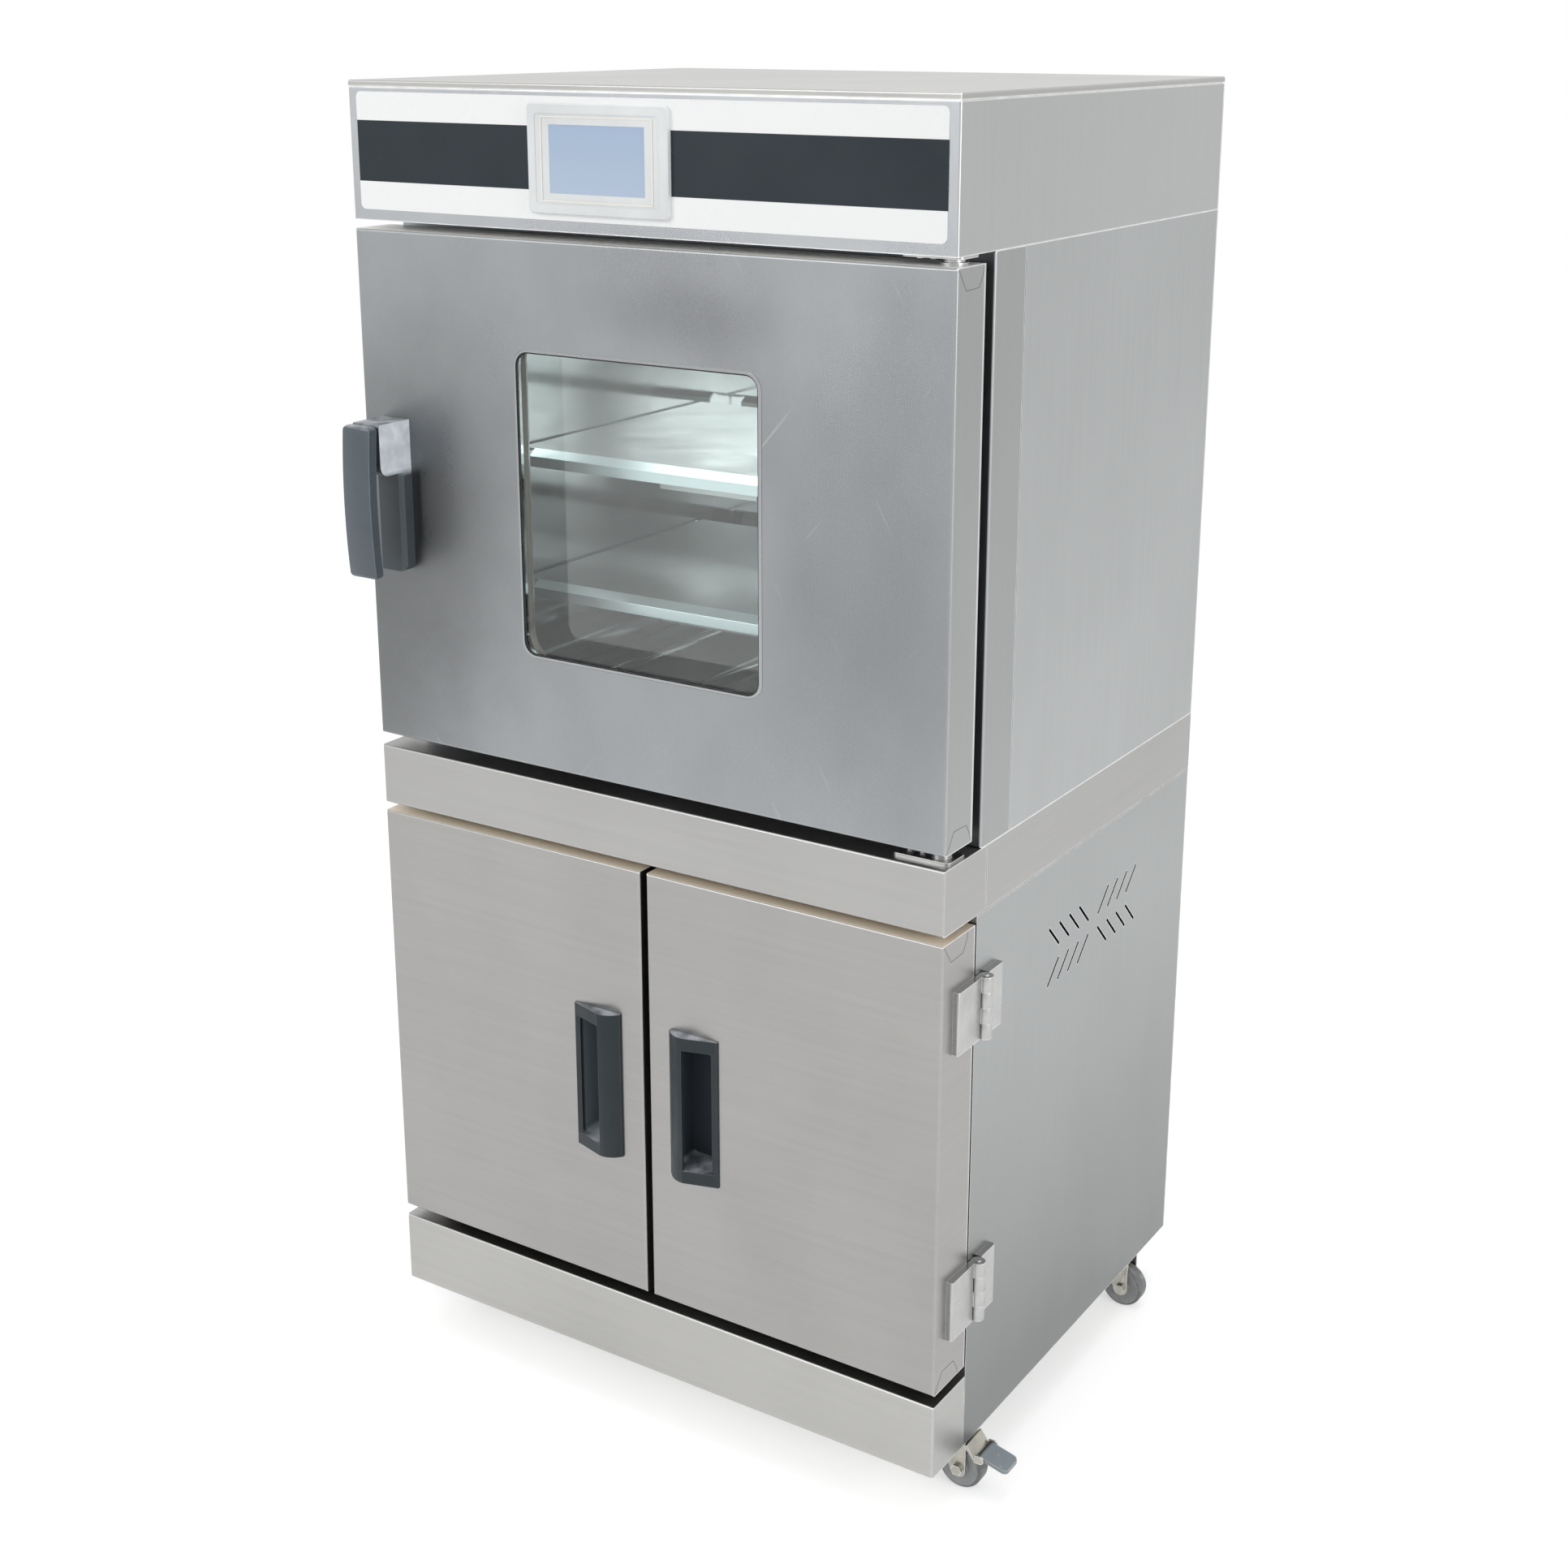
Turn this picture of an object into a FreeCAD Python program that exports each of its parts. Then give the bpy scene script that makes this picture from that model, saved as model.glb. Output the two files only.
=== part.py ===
import FreeCAD, Part
import math
import os
from FreeCAD import Vector as V

# Floor-standing vacuum drying oven on a pump cabinet, in millimetres.
# X runs to the right, Y from the front to the back, Z up.
# The origin is on the floor under the middle of the outer envelope.

os.makedirs("parts", exist_ok=True)

# Chamber and the room round it, which set the envelope
chamber_size = 450.0
chamber_depth = 400.0
side_room = 125.0
door_room = 46.5
rear_room = 48.5

# Sheet metal
sheet = 1.5
bend = 2.5
seam = 0.8

# Heights, from the floor up
plinth_height = 83.0
plinth_gap = 13.0
lower_door_height = 488.0
lower_door_gap = 9.0
band_height = 67.0
oven_door_gap = 14.0
head_gap = 9.0
head_height = 138.0

# Depths, from the front plane back
oven_door_thickness = 52.0
gasket_gap = 19.0
front_strip_depth = 59.0
band_front_depth = 84.0
lower_door_thickness = 64.0
lower_door_clearance = 2.0
lining_thickness = 2.0

# Head: control box on top
cover_rim = 6.0
lip_height = 5.0
film_margin = 11.0
film_thickness = 0.6
film_corner = 6.0
panel_width = 165.0
panel_height = 104.0
panel_centre_x = -34.0
panel_flange = 6.0
panel_bevel = 1.5
panel_corner = 6.0
panel_body_inset = 7.0
panel_body_depth = 32.0
screen_width = 112.0
screen_height = 64.0
screen_drop = 1.2
screen_thickness = 2.0
bezel_step_margin = 10.0
bezel_step_depth = 0.8

# Electronics on the floor of the head
board_length = 180.0
board_depth = 120.0
board_thickness = 1.6
standoff_height = 8.0
standoff_radius = 3.0
supply_length = 160.0
supply_depth = 98.0
supply_height = 42.0
relay_length = 45.0
relay_depth = 58.0
relay_height = 28.0
relay_fin_count = 5
relay_fin_gap = 4.0
relay_x = 198.0

# Chamber walls, heaters, wool and floor pan
chamber_wall = 4.0
flange_width = 24.0
heater_thickness = 2.0
heater_margin = 40.0
insulation_thickness = 48.0
rear_insulation = 60.0
pan_thickness = 1.5
pan_corner = 12.0
pan_rib_count = 4
pan_rib_width = 34.0
pan_rib_height = 5.0
pan_border = 38.0
pan_clearance = 14.0

# Shelves and their runners
shelf_heights = (123.5, 265.5)
shelf_thickness = 2.0
shelf_lip = 16.0
shelf_bevel_run = 9.0
shelf_bevel_drop = 7.0
shelf_setback = 24.0
shelf_rear_gap = 24.0
shelf_side_gap = 5.0
shelf_strip_length = 120.0
shelf_strip_setback = 36.0
shelf_strip_drop = 30.0
shelf_strip_foot = 8.0
runner_setback = 11.0
runner_width = 18.0
runner_leg = 12.0
runner_thickness = 1.5

# Vacuum port, probe and mains gland at the back
port_outer_radius = 12.5
port_bore_radius = 10.0
port_flange_radius = 20.0
port_flange_length = 6.0
port_reach = 46.0
port_x = 120.0
port_drop = 120.0
port_clearance = 0.5
probe_radius = 3.0
probe_length = 90.0
probe_x = -120.0
probe_drop = 80.0
probe_clearance = 0.1
probe_nut_radius = 9.0
probe_nut_length = 8.0
gland_radius = 9.0
gland_bore = 4.5
gland_reach = 22.0
gland_nut_radius = 13.0
gland_nut_length = 6.0
gland_inset = 100.0
gland_height = 40.0

# Seal round the chamber mouth
seal_margin = 37.0
seal_width = 22.0
seal_corner = 26.0
seal_groove_width = 8.0
seal_groove_depth = 5.0
seal_groove_corner = 18.0
seal_inner_corner = 15.0
soft_clearance = 0.3

# Oven door: window, glass, slots
window_width = 288.0
window_height = 312.0
window_rise = 5.5
window_corner = 15.0
bead_width = 3.0
bead_stand = 1.2
bead_bevel = 0.8
glass_overlap = 34.0
outer_glass_thickness = 5.0
inner_glass_thickness = 14.0
tunnel_room = 22.0
tunnel_wall = 1.2
door_core_margin = 6.0
slot_count = 30
slot_pitch = 16.6
slot_length = 15.0
slot_width = 2.4
slot_setback = 24.0
slot_angle = 35.0
slot_shift = 10.0

# Oven door pivots
pivot_inset = 20.0
pivot_setback = 30.0
pivot_radius = 5.0
pivot_engagement = 12.0
running_clearance = 0.05
bush_radius = 10.0
bush_flange_radius = 13.0
bush_flange = 2.0
bracket_length = 62.0
bracket_width = 34.0
bracket_thickness = 3.0
bracket_corner = 5.0
screw_head_radius = 4.0
screw_head_height = 2.4
screw_pitch = 14.0

# Door latch: base, lever, shaft and keeper
latch_inset = 43.0
latch_top = 192.0
latch_length = 160.0
base_width = 36.0
base_depth = 16.0
base_facet = 4.0
base_corner = 8.0
boss_depth = 46.0
boss_height = 54.0
boss_corner = 11.0
boss_brow = 3.0
lever_gap = 1.0
hub_length = 2.0
hub_radius = 13.0
grip_width = 36.0
grip_thickness = 11.0
grip_bow = 4.0
grip_round = 4.5
grip_corner = 6.0
rib_width = 14.0
rib_length = 50.0
shaft_radius = 5.0
cam_thickness = 5.0
cam_gap = 2.0
cam_hub_radius = 11.0
cam_length = 32.0
cam_width = 13.0
keeper_lip_gap = 1.0
keeper_width = 18.0
keeper_height = 46.0
keeper_sheet = 2.5
keeper_bend = 2.0

# Lower cabinet
lower_door_split = 8.0
front_flange = 22.0
vent_count = 4
vent_pitch = 24.0
vent_span = 25.0
vent_width = 3.2
vent_half_gap = 11.5
vent_row_gap = 15.0
vent_centre_back = 338.0
vent_centre_height = 487.5
rail_width = 86.0
rail_inset_back = 40.0
catch_width = 46.0
catch_height = 18.0
catch_depth = 30.0
catch_offset = 30.0

# Moulded pull handles
pull_width = 60.0
pull_height = 166.0
pull_inset = 28.0
pull_drop = 166.0
pull_flange = 2.5
pull_flange_bevel = 1.2
pull_corner = 4.8
pull_wall = 2.2
pull_depth = 28.0
pull_border = 5.0
pull_cap = 14.0
pull_crown_width = 22.0
pull_crown_stand = 13.0
pull_shoulder_width = 7.5
pull_shoulder_stand = 9.0
pull_lip = 3.5
pull_under_width = 12.5
pull_under_stand = 5.5
pull_draft = 3.0
pull_fit = 0.3

# Block hinges of the lower doors
hinge_height = 66.0
hinge_inset = 54.0
hinge_offset = 8.0
hinge_radius = 7.5
hinge_pin_radius = 3.0
hinge_pin_stand = 1.2
hinge_door_leaf = 44.0
hinge_body_leaf = 30.0
hinge_leaf_thickness = 7.2
hinge_knuckles = 4
hinge_play = 0.3
hinge_leaf_clearance = 1.0
hinge_round = 2.5
hinge_axis_setback = 10.0

# Casters
wheel_radius = 25.0
wheel_width = 20.0
wheel_room = 6.6
wheel_tread = 5.0
wheel_bevel = 2.5
wheel_dish = 3.0
wheel_hub_radius = 8.0
axle_radius = 4.0
axle_nut_radius = 6.5
axle_nut_length = 4.0
caster_trail = 22.0
caster_inset = 36.0
caster_front_setback = 96.0
caster_rear_setback = 80.0
plate_size = 60.0
plate_thickness = 2.5
plate_corner = 7.0
race_radius = 19.0
race_height = 6.0
race_gap = 0.4
fork_sheet = 2.5
fork_gap = 1.5
fork_head = 17.0
fork_foot = 9.0
kingpin_radius = 5.0
brake_width = 34.0
brake_drop = 13.0
brake_front = 12.0
pedal_length = 30.0
pedal_thickness = 4.0
pedal_round = 6.0
pedal_roll_radius = 3.2
pedal_pin_radius = 1.5
pedal_ear = 2.0
pedal_ear_radius = 4.5

# Places that follow from the sizes above
width = chamber_size + 2 * side_room
depth = (oven_door_thickness + gasket_gap + chamber_depth + chamber_wall + rear_insulation
         + rear_room + sheet)
oven_door_height = chamber_size + 2 * door_room
shelf_depth = chamber_depth - shelf_setback - shelf_rear_gap
runner_depth = shelf_depth - 2 * runner_setback
port_height = chamber_size - port_drop
probe_height = chamber_size - probe_drop
caster_height = 2 * wheel_radius + wheel_room + fork_sheet + race_gap + race_height + plate_thickness

half = width / 2
plinth_z = caster_height
lower_door_z = plinth_z + plinth_height + plinth_gap
band_z = lower_door_z + lower_door_height + lower_door_gap
body_z = band_z + band_height
oven_door_z = body_z + oven_door_gap
head_z = oven_door_z + oven_door_height + head_gap
top_z = head_z + head_height

grip_plane = boss_depth + lever_gap + hub_length
handle_reach = grip_plane + grip_thickness + grip_bow
front = handle_reach - (handle_reach + depth + port_reach) / 2
back = front + depth
body_front = front + oven_door_thickness + gasket_gap
strip_back = body_front + front_strip_depth
cabinet_front = front + lower_door_thickness + lower_door_clearance

door_centre_z = oven_door_z + oven_door_height / 2
chamber_z = door_centre_z - chamber_size / 2
chamber_back = body_front + chamber_depth
window_z = door_centre_z + window_rise
latch_x = -half + latch_inset
latch_z = oven_door_z + oven_door_height - latch_top - boss_height / 2
pivot_x = half - pivot_inset
gland_x = half - gland_inset
pivot_y = front + pivot_setback
hinge_x = half + hinge_offset
hinge_y = front + lower_door_thickness + hinge_axis_setback


def box(x0, x1, y0, y1, z0, z1):
    return Part.makeBox(x1 - x0, y1 - y0, z1 - z0, V(x0, y0, z0))


def rod(base, axis, radius, length):
    return Part.makeCylinder(radius, length, base, axis)


def mirrored(shape):
    return shape.mirror(V(0, 0, 0), V(1, 0, 0))


def rounded_plate(cx, cz, w, h, corner, y0, y1):
    """Plate facing the front, with round corners."""
    plate = box(cx - w / 2, cx + w / 2, y0, y1, cz - h / 2, cz + h / 2)
    edges = edges_along(plate, V(0, 1, 0))
    return plate.makeFillet(corner, edges)


def edges_along(shape, axis, keep=None):
    """Straight edges parallel to an axis, filtered by their middle point."""
    found = []
    for edge in shape.Edges:
        if len(edge.Vertexes) < 2:
            continue
        run = edge.Vertexes[1].Point - edge.Vertexes[0].Point
        if run.Length < 1e-6 or not hasattr(edge.Curve, "Direction"):
            continue
        if abs(abs(run.normalize().dot(axis)) - 1) > 1e-6:
            continue
        if keep is None or keep(edge.CenterOfMass):
            found.append(edge)
    return found


def folded_front(x0, x1, y0, y1, z0, z1):
    """Block whose front and side corners have the sheet's bend radius."""
    block = box(x0, x1, y0, y1, z0, z1)
    corners = edges_along(block, V(0, 0, 1), lambda p: abs(p.y - y0) < 1e-6)
    corners += edges_along(block, V(1, 0, 0), lambda p: abs(p.y - y0) < 1e-6)
    return block.makeFillet(bend, corners)


def pan(x0, x1, y0, y1, z0, z1):
    """Folded tray of sheet metal, open at the back."""
    block = folded_front(x0, x1, y0, y1, z0, z1)
    hollow = box(x0 + sheet, x1 - sheet, y0 + sheet, y1 + sheet, z0 + sheet, z1 - sheet)
    return block.cut(hollow)


def polygon_prism(points, run):
    """Closed straight outline pushed along a vector."""
    wire = Part.makePolygon(points + [points[0]])
    return Part.Face(wire).extrude(run)


def save(name, *solids):
    shape = solids[0] if len(solids) == 1 else Part.makeCompound(list(solids))
    shape.exportStep("parts/%s.step" % name)


# Head

def head_housing():
    """Tray of the control box: floor, front and side walls and a stepped lip for the cover."""
    wall_top = top_z - cover_rim - seam
    block = box(-half, half, front, back - sheet, head_z, wall_top)
    block = block.makeFillet(bend, edges_along(block, V(0, 0, 1), lambda p: p.y < front + 1e-6))
    shell = block.cut(box(-half + sheet, half - sheet, front + sheet, back, head_z + sheet, top_z))
    step = 2 * sheet
    lip = box(-half + sheet, half - sheet, front + sheet, back - sheet, wall_top - lip_height,
              top_z - sheet)
    lip = lip.cut(box(-half + step, half - step, front + step, back - step, head_z, top_z))
    shell = shell.fuse(lip)
    return shell.cut(panel_body(panel_fit=soft_clearance)).removeSplitter()


def head_back():
    """Flat back sheet of the control box, with the hole for the mains gland."""
    panel = box(-half, half, back - sheet, back, head_z, top_z - cover_rim - seam)
    return panel.cut(rod(V(gland_x, back - 2 * sheet, head_z + gland_height), V(0, 1, 0), gland_radius,
                         4 * sheet))


def head_cover():
    """Lid of the control box with a folded rim."""
    block = box(-half, half, front, back, top_z - cover_rim, top_z)
    rim = edges_along(block, V(1, 0, 0), lambda p: p.z > top_z - 1e-6)
    rim += edges_along(block, V(0, 1, 0), lambda p: p.z > top_z - 1e-6)
    block = block.makeFillet(bend - seam, rim)
    hollow = box(-half + sheet, half - sheet, front + sheet, back - sheet,
                 top_z - 2 * cover_rim, top_z - sheet)
    return block.cut(hollow)


def panel_centre():
    return panel_centre_x, head_z + head_height / 2


def panel_body(panel_fit=0.0):
    cx, cz = panel_centre()
    w = panel_width - 2 * panel_body_inset + 2 * panel_fit
    h = panel_height - 2 * panel_body_inset + 2 * panel_fit
    return box(cx - w / 2, cx + w / 2, front - film_thickness, front + panel_body_depth,
               cz - h / 2, cz + h / 2)


def fascia_film():
    film = rounded_plate(0, head_z + head_height / 2, width - 2 * film_margin,
                         head_height - 2 * film_margin, film_corner, front - film_thickness, front)
    return film.cut(panel_body(panel_fit=soft_clearance))


def panel_bezel():
    """Moulded frame of the touch panel, stepped down to the screen."""
    cx, cz = panel_centre()
    face = front - film_thickness - panel_flange
    flange = rounded_plate(cx, cz, panel_width, panel_height, panel_corner,
                           face, front - film_thickness)
    rim = [e for e in flange.Edges if e.BoundBox.YMax < face + 1e-6]
    flange = flange.makeChamfer(panel_bevel, rim)
    step = rounded_plate(cx, cz, panel_width - 2 * bezel_step_margin,
                         panel_height - 2 * bezel_step_margin,
                         panel_corner / 2, face, face + bezel_step_depth)
    well = box(cx - screen_width / 2, cx + screen_width / 2, face, face + screen_drop + screen_thickness,
               cz - screen_height / 2, cz + screen_height / 2)
    return flange.fuse(panel_body()).cut(step).cut(well)


def panel_screen():
    cx, cz = panel_centre()
    face = front - film_thickness - panel_flange + screen_drop
    return box(cx - screen_width / 2, cx + screen_width / 2, face, face + screen_thickness,
               cz - screen_height / 2, cz + screen_height / 2)


def control_electronics():
    """Circuit board on standoffs, power supply and solid-state relay."""
    floor = head_z + sheet
    y0 = front + depth / 2 - board_depth / 2
    x0 = -half / 2 - board_length / 2
    board = box(x0, x0 + board_length, y0, y0 + board_depth, floor + standoff_height,
                floor + standoff_height + board_thickness)
    for sx in (x0 + 2 * standoff_radius, x0 + board_length - 2 * standoff_radius):
        for sy in (y0 + 2 * standoff_radius, y0 + board_depth - 2 * standoff_radius):
            board = board.fuse(rod(V(sx, sy, floor), V(0, 0, 1), standoff_radius, standoff_height))
    supply = Part.makeBox(supply_length, supply_depth, supply_height, V(0, y0, floor))
    relay = Part.makeBox(relay_length, relay_depth, relay_height, V(relay_x, y0, floor))
    pitch = relay_length / relay_fin_count
    for i in range(relay_fin_count):
        slot_x = relay_x + i * pitch + pitch / 2
        relay = relay.cut(box(slot_x - relay_fin_gap / 2, slot_x + relay_fin_gap / 2,
                              y0, y0 + relay_depth,
                              floor + relay_height / 2, floor + relay_height))
    return board, supply, relay


# Upper body

def front_frame():
    """Tray round the chamber mouth, whose sides show as the front strip."""
    frame = pan(-half, half, body_front, strip_back, body_z, head_z)
    return frame.cut(chamber_block(chamber_wall, body_front - sheet, body_front + 2 * sheet))


def body_side_panel():
    """Right side sheet with a joggled tongue behind the front strip."""
    panel = box(half - sheet, half, strip_back + seam, back - sheet, body_z, head_z)
    tongue = box(half - 2 * sheet, half - sheet, strip_back - front_flange, strip_back + front_flange,
                 body_z + sheet, head_z - sheet)
    return panel.fuse(tongue).removeSplitter()


def body_back_panel():
    panel = box(-half, half, back - sheet, back, body_z, head_z)
    hole = rod(V(port_x, back - 2 * sheet, chamber_z + port_height), V(0, 1, 0),
               port_outer_radius + port_clearance, 4 * sheet)
    return panel.cut(hole)


def chamber_block(grow, y0, y1):
    reach = chamber_size / 2 + grow
    return box(-reach, reach, y0, y1, door_centre_z - reach, door_centre_z + reach)


def chamber():
    """Vessel welded from flat sheets, with a flange behind the front frame."""
    vessel = chamber_block(chamber_wall, body_front, chamber_back + chamber_wall)
    flange = chamber_block(chamber_wall + flange_width, body_front + sheet,
                             body_front + sheet + chamber_wall)
    vessel = vessel.fuse(flange)
    vessel = vessel.cut(chamber_block(0, body_front - sheet, chamber_back))
    port = rod(V(port_x, chamber_back - sheet, chamber_z + port_height), V(0, 1, 0), port_bore_radius,
               3 * chamber_wall)
    probe = rod(V(probe_x, chamber_back - sheet, chamber_z + probe_height), V(0, 1, 0),
                probe_radius + probe_clearance, 3 * chamber_wall)
    return vessel.cut(port).cut(probe).removeSplitter()


def chamber_floor_pan():
    """Pressed floor tray with round-topped ribs that carry goods off the floor."""
    reach = chamber_size / 2 - pan_clearance
    y0 = body_front + pan_clearance
    y1 = chamber_back - pan_clearance
    pan_plate = box(-reach, reach, y0, y1, chamber_z, chamber_z + pan_thickness)
    corners = edges_along(pan_plate, V(0, 0, 1))
    pan_plate = pan_plate.makeFillet(pan_corner, corners)
    pitch = (2 * reach - 2 * pan_border) / (pan_rib_count - 1)
    rise = pan_rib_height
    radius = (pan_rib_width ** 2 / 4 + rise ** 2) / (2 * rise)
    for i in range(pan_rib_count):
        cx = -reach + pan_border + i * pitch
        rib = rod(V(cx, y0 + pan_border, chamber_z + pan_thickness + rise - radius), V(0, 1, 0), radius,
                  y1 - y0 - 2 * pan_border)
        keep = box(cx - pan_rib_width, cx + pan_rib_width, y0, y1,
                   chamber_z, chamber_z + 2 * pan_rib_width)
        pan_plate = pan_plate.fuse(rib.common(keep))
    return pan_plate.removeSplitter()


def heater_mats():
    """Flat heating mats on the four outer walls of the chamber."""
    reach = chamber_size / 2 - heater_margin
    inner = chamber_size / 2 + chamber_wall
    outer = inner + heater_thickness
    y0 = body_front + sheet + chamber_wall + heater_margin
    y1 = chamber_back - heater_margin
    cz = door_centre_z
    right = box(inner, outer, y0, y1, cz - reach, cz + reach)
    top = box(-reach, reach, y0, y1, cz + inner, cz + outer)
    bottom = box(-reach, reach, y0, y1, cz - outer, cz - inner)
    return right, mirrored(right), top, bottom


def insulation():
    """Mineral wool wrapped round the vessel and its mats."""
    y0 = body_front + sheet + chamber_wall
    y1 = chamber_back + chamber_wall + rear_insulation
    wool = chamber_block(chamber_wall + insulation_thickness, y0, y1)
    cavity = chamber_block(chamber_wall + heater_thickness, y0 - sheet, chamber_back + chamber_wall)
    port = rod(V(port_x, chamber_back, chamber_z + port_height), V(0, 1, 0),
               port_outer_radius + port_clearance, depth)
    nut = rod(V(probe_x, chamber_back, chamber_z + probe_height), V(0, 1, 0),
              probe_nut_radius + port_clearance, depth)
    return wool.cut(cavity).cut(port).cut(nut)


def vacuum_port():
    """Tube from the vessel's back wall out through the back panel, with a clamp flange."""
    z = chamber_z + port_height
    y0 = chamber_back + chamber_wall
    y1 = back + port_reach
    tube = rod(V(port_x, y0, z), V(0, 1, 0), port_outer_radius, y1 - y0)
    flange = rod(V(port_x, y1 - port_flange_length, z), V(0, 1, 0), port_flange_radius,
                 port_flange_length)
    collar = rod(V(port_x, back, z), V(0, 1, 0), port_flange_radius, 2 * sheet)
    bore = rod(V(port_x, y0 - sheet, z), V(0, 1, 0), port_bore_radius, y1 - y0 + 2 * sheet)
    return tube.fuse(flange).fuse(collar).cut(bore).removeSplitter()


def temperature_probe():
    z = chamber_z + probe_height
    stem = rod(V(probe_x, chamber_back - probe_length, z), V(0, 1, 0), probe_radius,
               probe_length + chamber_wall)
    nut = rod(V(probe_x, chamber_back + chamber_wall, z), V(0, 1, 0), probe_nut_radius,
              probe_nut_length)
    return stem.fuse(nut).removeSplitter()


def mains_gland():
    z = head_z + gland_height
    body = rod(V(gland_x, back - sheet, z), V(0, 1, 0), gland_radius - probe_clearance, gland_reach)
    nut = rod(V(gland_x, back, z), V(0, 1, 0), gland_nut_radius, gland_nut_length)
    bore = rod(V(gland_x, back - 2 * sheet, z), V(0, 1, 0), gland_bore, 2 * gland_reach)
    return body.fuse(nut).cut(bore).removeSplitter()


def door_seal():
    """Moulded silicone ring on the front frame, with a groove that forms two lips."""
    y0 = front + oven_door_thickness + soft_clearance
    size = chamber_size + 2 * seal_margin
    outer = rounded_plate(0, door_centre_z, size, size, seal_corner, y0, body_front)
    hole = size - 2 * seal_width
    ring = outer.cut(rounded_plate(0, door_centre_z, hole, hole, seal_inner_corner, y0 - sheet,
                                   body_front + sheet))
    mid_out = size - seal_width + seal_groove_width
    mid_in = size - seal_width - seal_groove_width
    groove = rounded_plate(0, door_centre_z, mid_out, mid_out, seal_groove_corner, y0 - sheet,
                           y0 + seal_groove_depth)
    groove = groove.cut(rounded_plate(0, door_centre_z, mid_in, mid_in, seal_inner_corner, y0 - 2 * sheet,
                                      body_front))
    return ring.cut(groove)


# Shelves

def runner(level):
    """Angle welded to the right wall, on which a shelf slides."""
    wall = chamber_size / 2
    z = chamber_z + level
    y0 = body_front + shelf_setback + runner_setback
    ledge = box(wall - runner_width, wall, y0, y0 + runner_depth, z - runner_thickness, z)
    leg = box(wall - runner_thickness, wall, y0, y0 + runner_depth, z - runner_leg, z)
    return ledge.fuse(leg).removeSplitter()


def shelf(level):
    """Smooth plate with bevelled, folded lips at both ends and a stop strip below."""
    z = chamber_z + level
    t = shelf_thickness
    y0 = body_front + shelf_setback
    y1 = y0 + shelf_depth
    reach = chamber_size / 2 - shelf_side_gap
    inner = chamber_size / 2 - runner_width - shelf_side_gap
    plate = box(-reach, reach, y0 + shelf_bevel_run, y1 - shelf_bevel_run, z, z + t)
    for edge_y, inward in ((y0, 1), (y1, -1)):
        profile = [V(-inner, edge_y + inward * shelf_bevel_run, z + t),
                   V(-inner, edge_y, z + t - shelf_bevel_drop),
                   V(-inner, edge_y, z - shelf_lip),
                   V(-inner, edge_y + inward * t, z - shelf_lip),
                   V(-inner, edge_y + inward * t, z - shelf_bevel_drop + t / 2),
                   V(-inner, edge_y + inward * shelf_bevel_run, z)]
        plate = plate.fuse(polygon_prism(profile, V(2 * inner, 0, 0)))
    strip_y = y0 + shelf_strip_setback
    half_strip = shelf_strip_length / 2
    web = box(-half_strip, half_strip, strip_y, strip_y + t, z - shelf_strip_drop, z)
    foot = box(-half_strip, half_strip, strip_y, strip_y + shelf_strip_foot,
               z - shelf_strip_drop, z - shelf_strip_drop + t)
    return plate.fuse(web).fuse(foot).removeSplitter()


# Oven door

def door_slots():
    """Row of slanted breathing slots in the door's top face."""
    z = oven_door_z + oven_door_height
    slots = []
    for i in range(slot_count):
        cx = slot_shift + (i - (slot_count - 1) / 2) * slot_pitch
        slot = box(-slot_width / 2, slot_width / 2, -slot_length / 2, slot_length / 2,
                   z - 2 * sheet, z + sheet)
        slot.rotate(V(0, 0, 0), V(0, 0, 1), -slot_angle)
        slot.translate(V(cx, front + slot_setback, 0))
        slots.append(slot)
    return Part.makeCompound(slots)


def window_outline(grow, y0, y1):
    return rounded_plate(0, window_z, window_width + 2 * grow, window_height + 2 * grow,
                         window_corner + grow, y0, y1)


def door_skin():
    """Front tray of the oven door, with window, slots and bearing holes."""
    y1 = front + oven_door_thickness - lining_thickness
    skin = pan(-half, half, front, y1, oven_door_z, oven_door_z + oven_door_height)
    skin = skin.cut(window_outline(0, front - sheet, front + 2 * sheet))
    skin = skin.cut(door_slots())
    bores = rod(V(pivot_x, pivot_y, oven_door_z - sheet), V(0, 0, 1), bush_radius + running_clearance,
                oven_door_height + 2 * sheet)
    shaft = rod(V(latch_x, front - sheet, latch_z), V(0, 1, 0), shaft_radius + running_clearance,
                4 * sheet)
    return skin.cut(bores).cut(shaft)


def door_lining():
    """Back sheet of the oven door, with the opening for the inner glass."""
    y1 = front + oven_door_thickness
    plate = box(-half, half, y1 - lining_thickness, y1, oven_door_z, oven_door_z + oven_door_height)
    plate = plate.cut(window_outline(tunnel_room, y1 - 2 * lining_thickness, y1 + sheet))
    shaft = rod(V(latch_x, front, latch_z), V(0, 1, 0), shaft_radius + running_clearance,
                2 * oven_door_thickness)
    return plate.cut(shaft)


def door_core():
    """Mineral wool slab inside the door, cut out round the glazing, latch and pivots."""
    y0 = front + sheet
    y1 = front + oven_door_thickness - lining_thickness
    x1 = half - sheet
    z0 = oven_door_z + sheet
    z1 = oven_door_z + oven_door_height - 2 * sheet
    core = box(-x1, x1, y0, y1, z0, z1)
    core = core.cut(window_outline(glass_overlap + soft_clearance, y0 - sheet, y1 + sheet))
    room = bush_radius + door_core_margin
    core = core.cut(rod(V(pivot_x, pivot_y, z0 - sheet), V(0, 0, 1), room, z1 - z0 + 2 * sheet))
    core = core.cut(rod(V(latch_x, y0 - sheet, latch_z), V(0, 1, 0), shaft_radius + door_core_margin,
                        oven_door_thickness))
    return core


def outer_glass():
    y0 = front + sheet
    return window_outline(glass_overlap, y0, y0 + outer_glass_thickness)


def inner_glass():
    y1 = front + oven_door_thickness - lining_thickness
    return window_outline(glass_overlap, y1 - inner_glass_thickness, y1)


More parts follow.
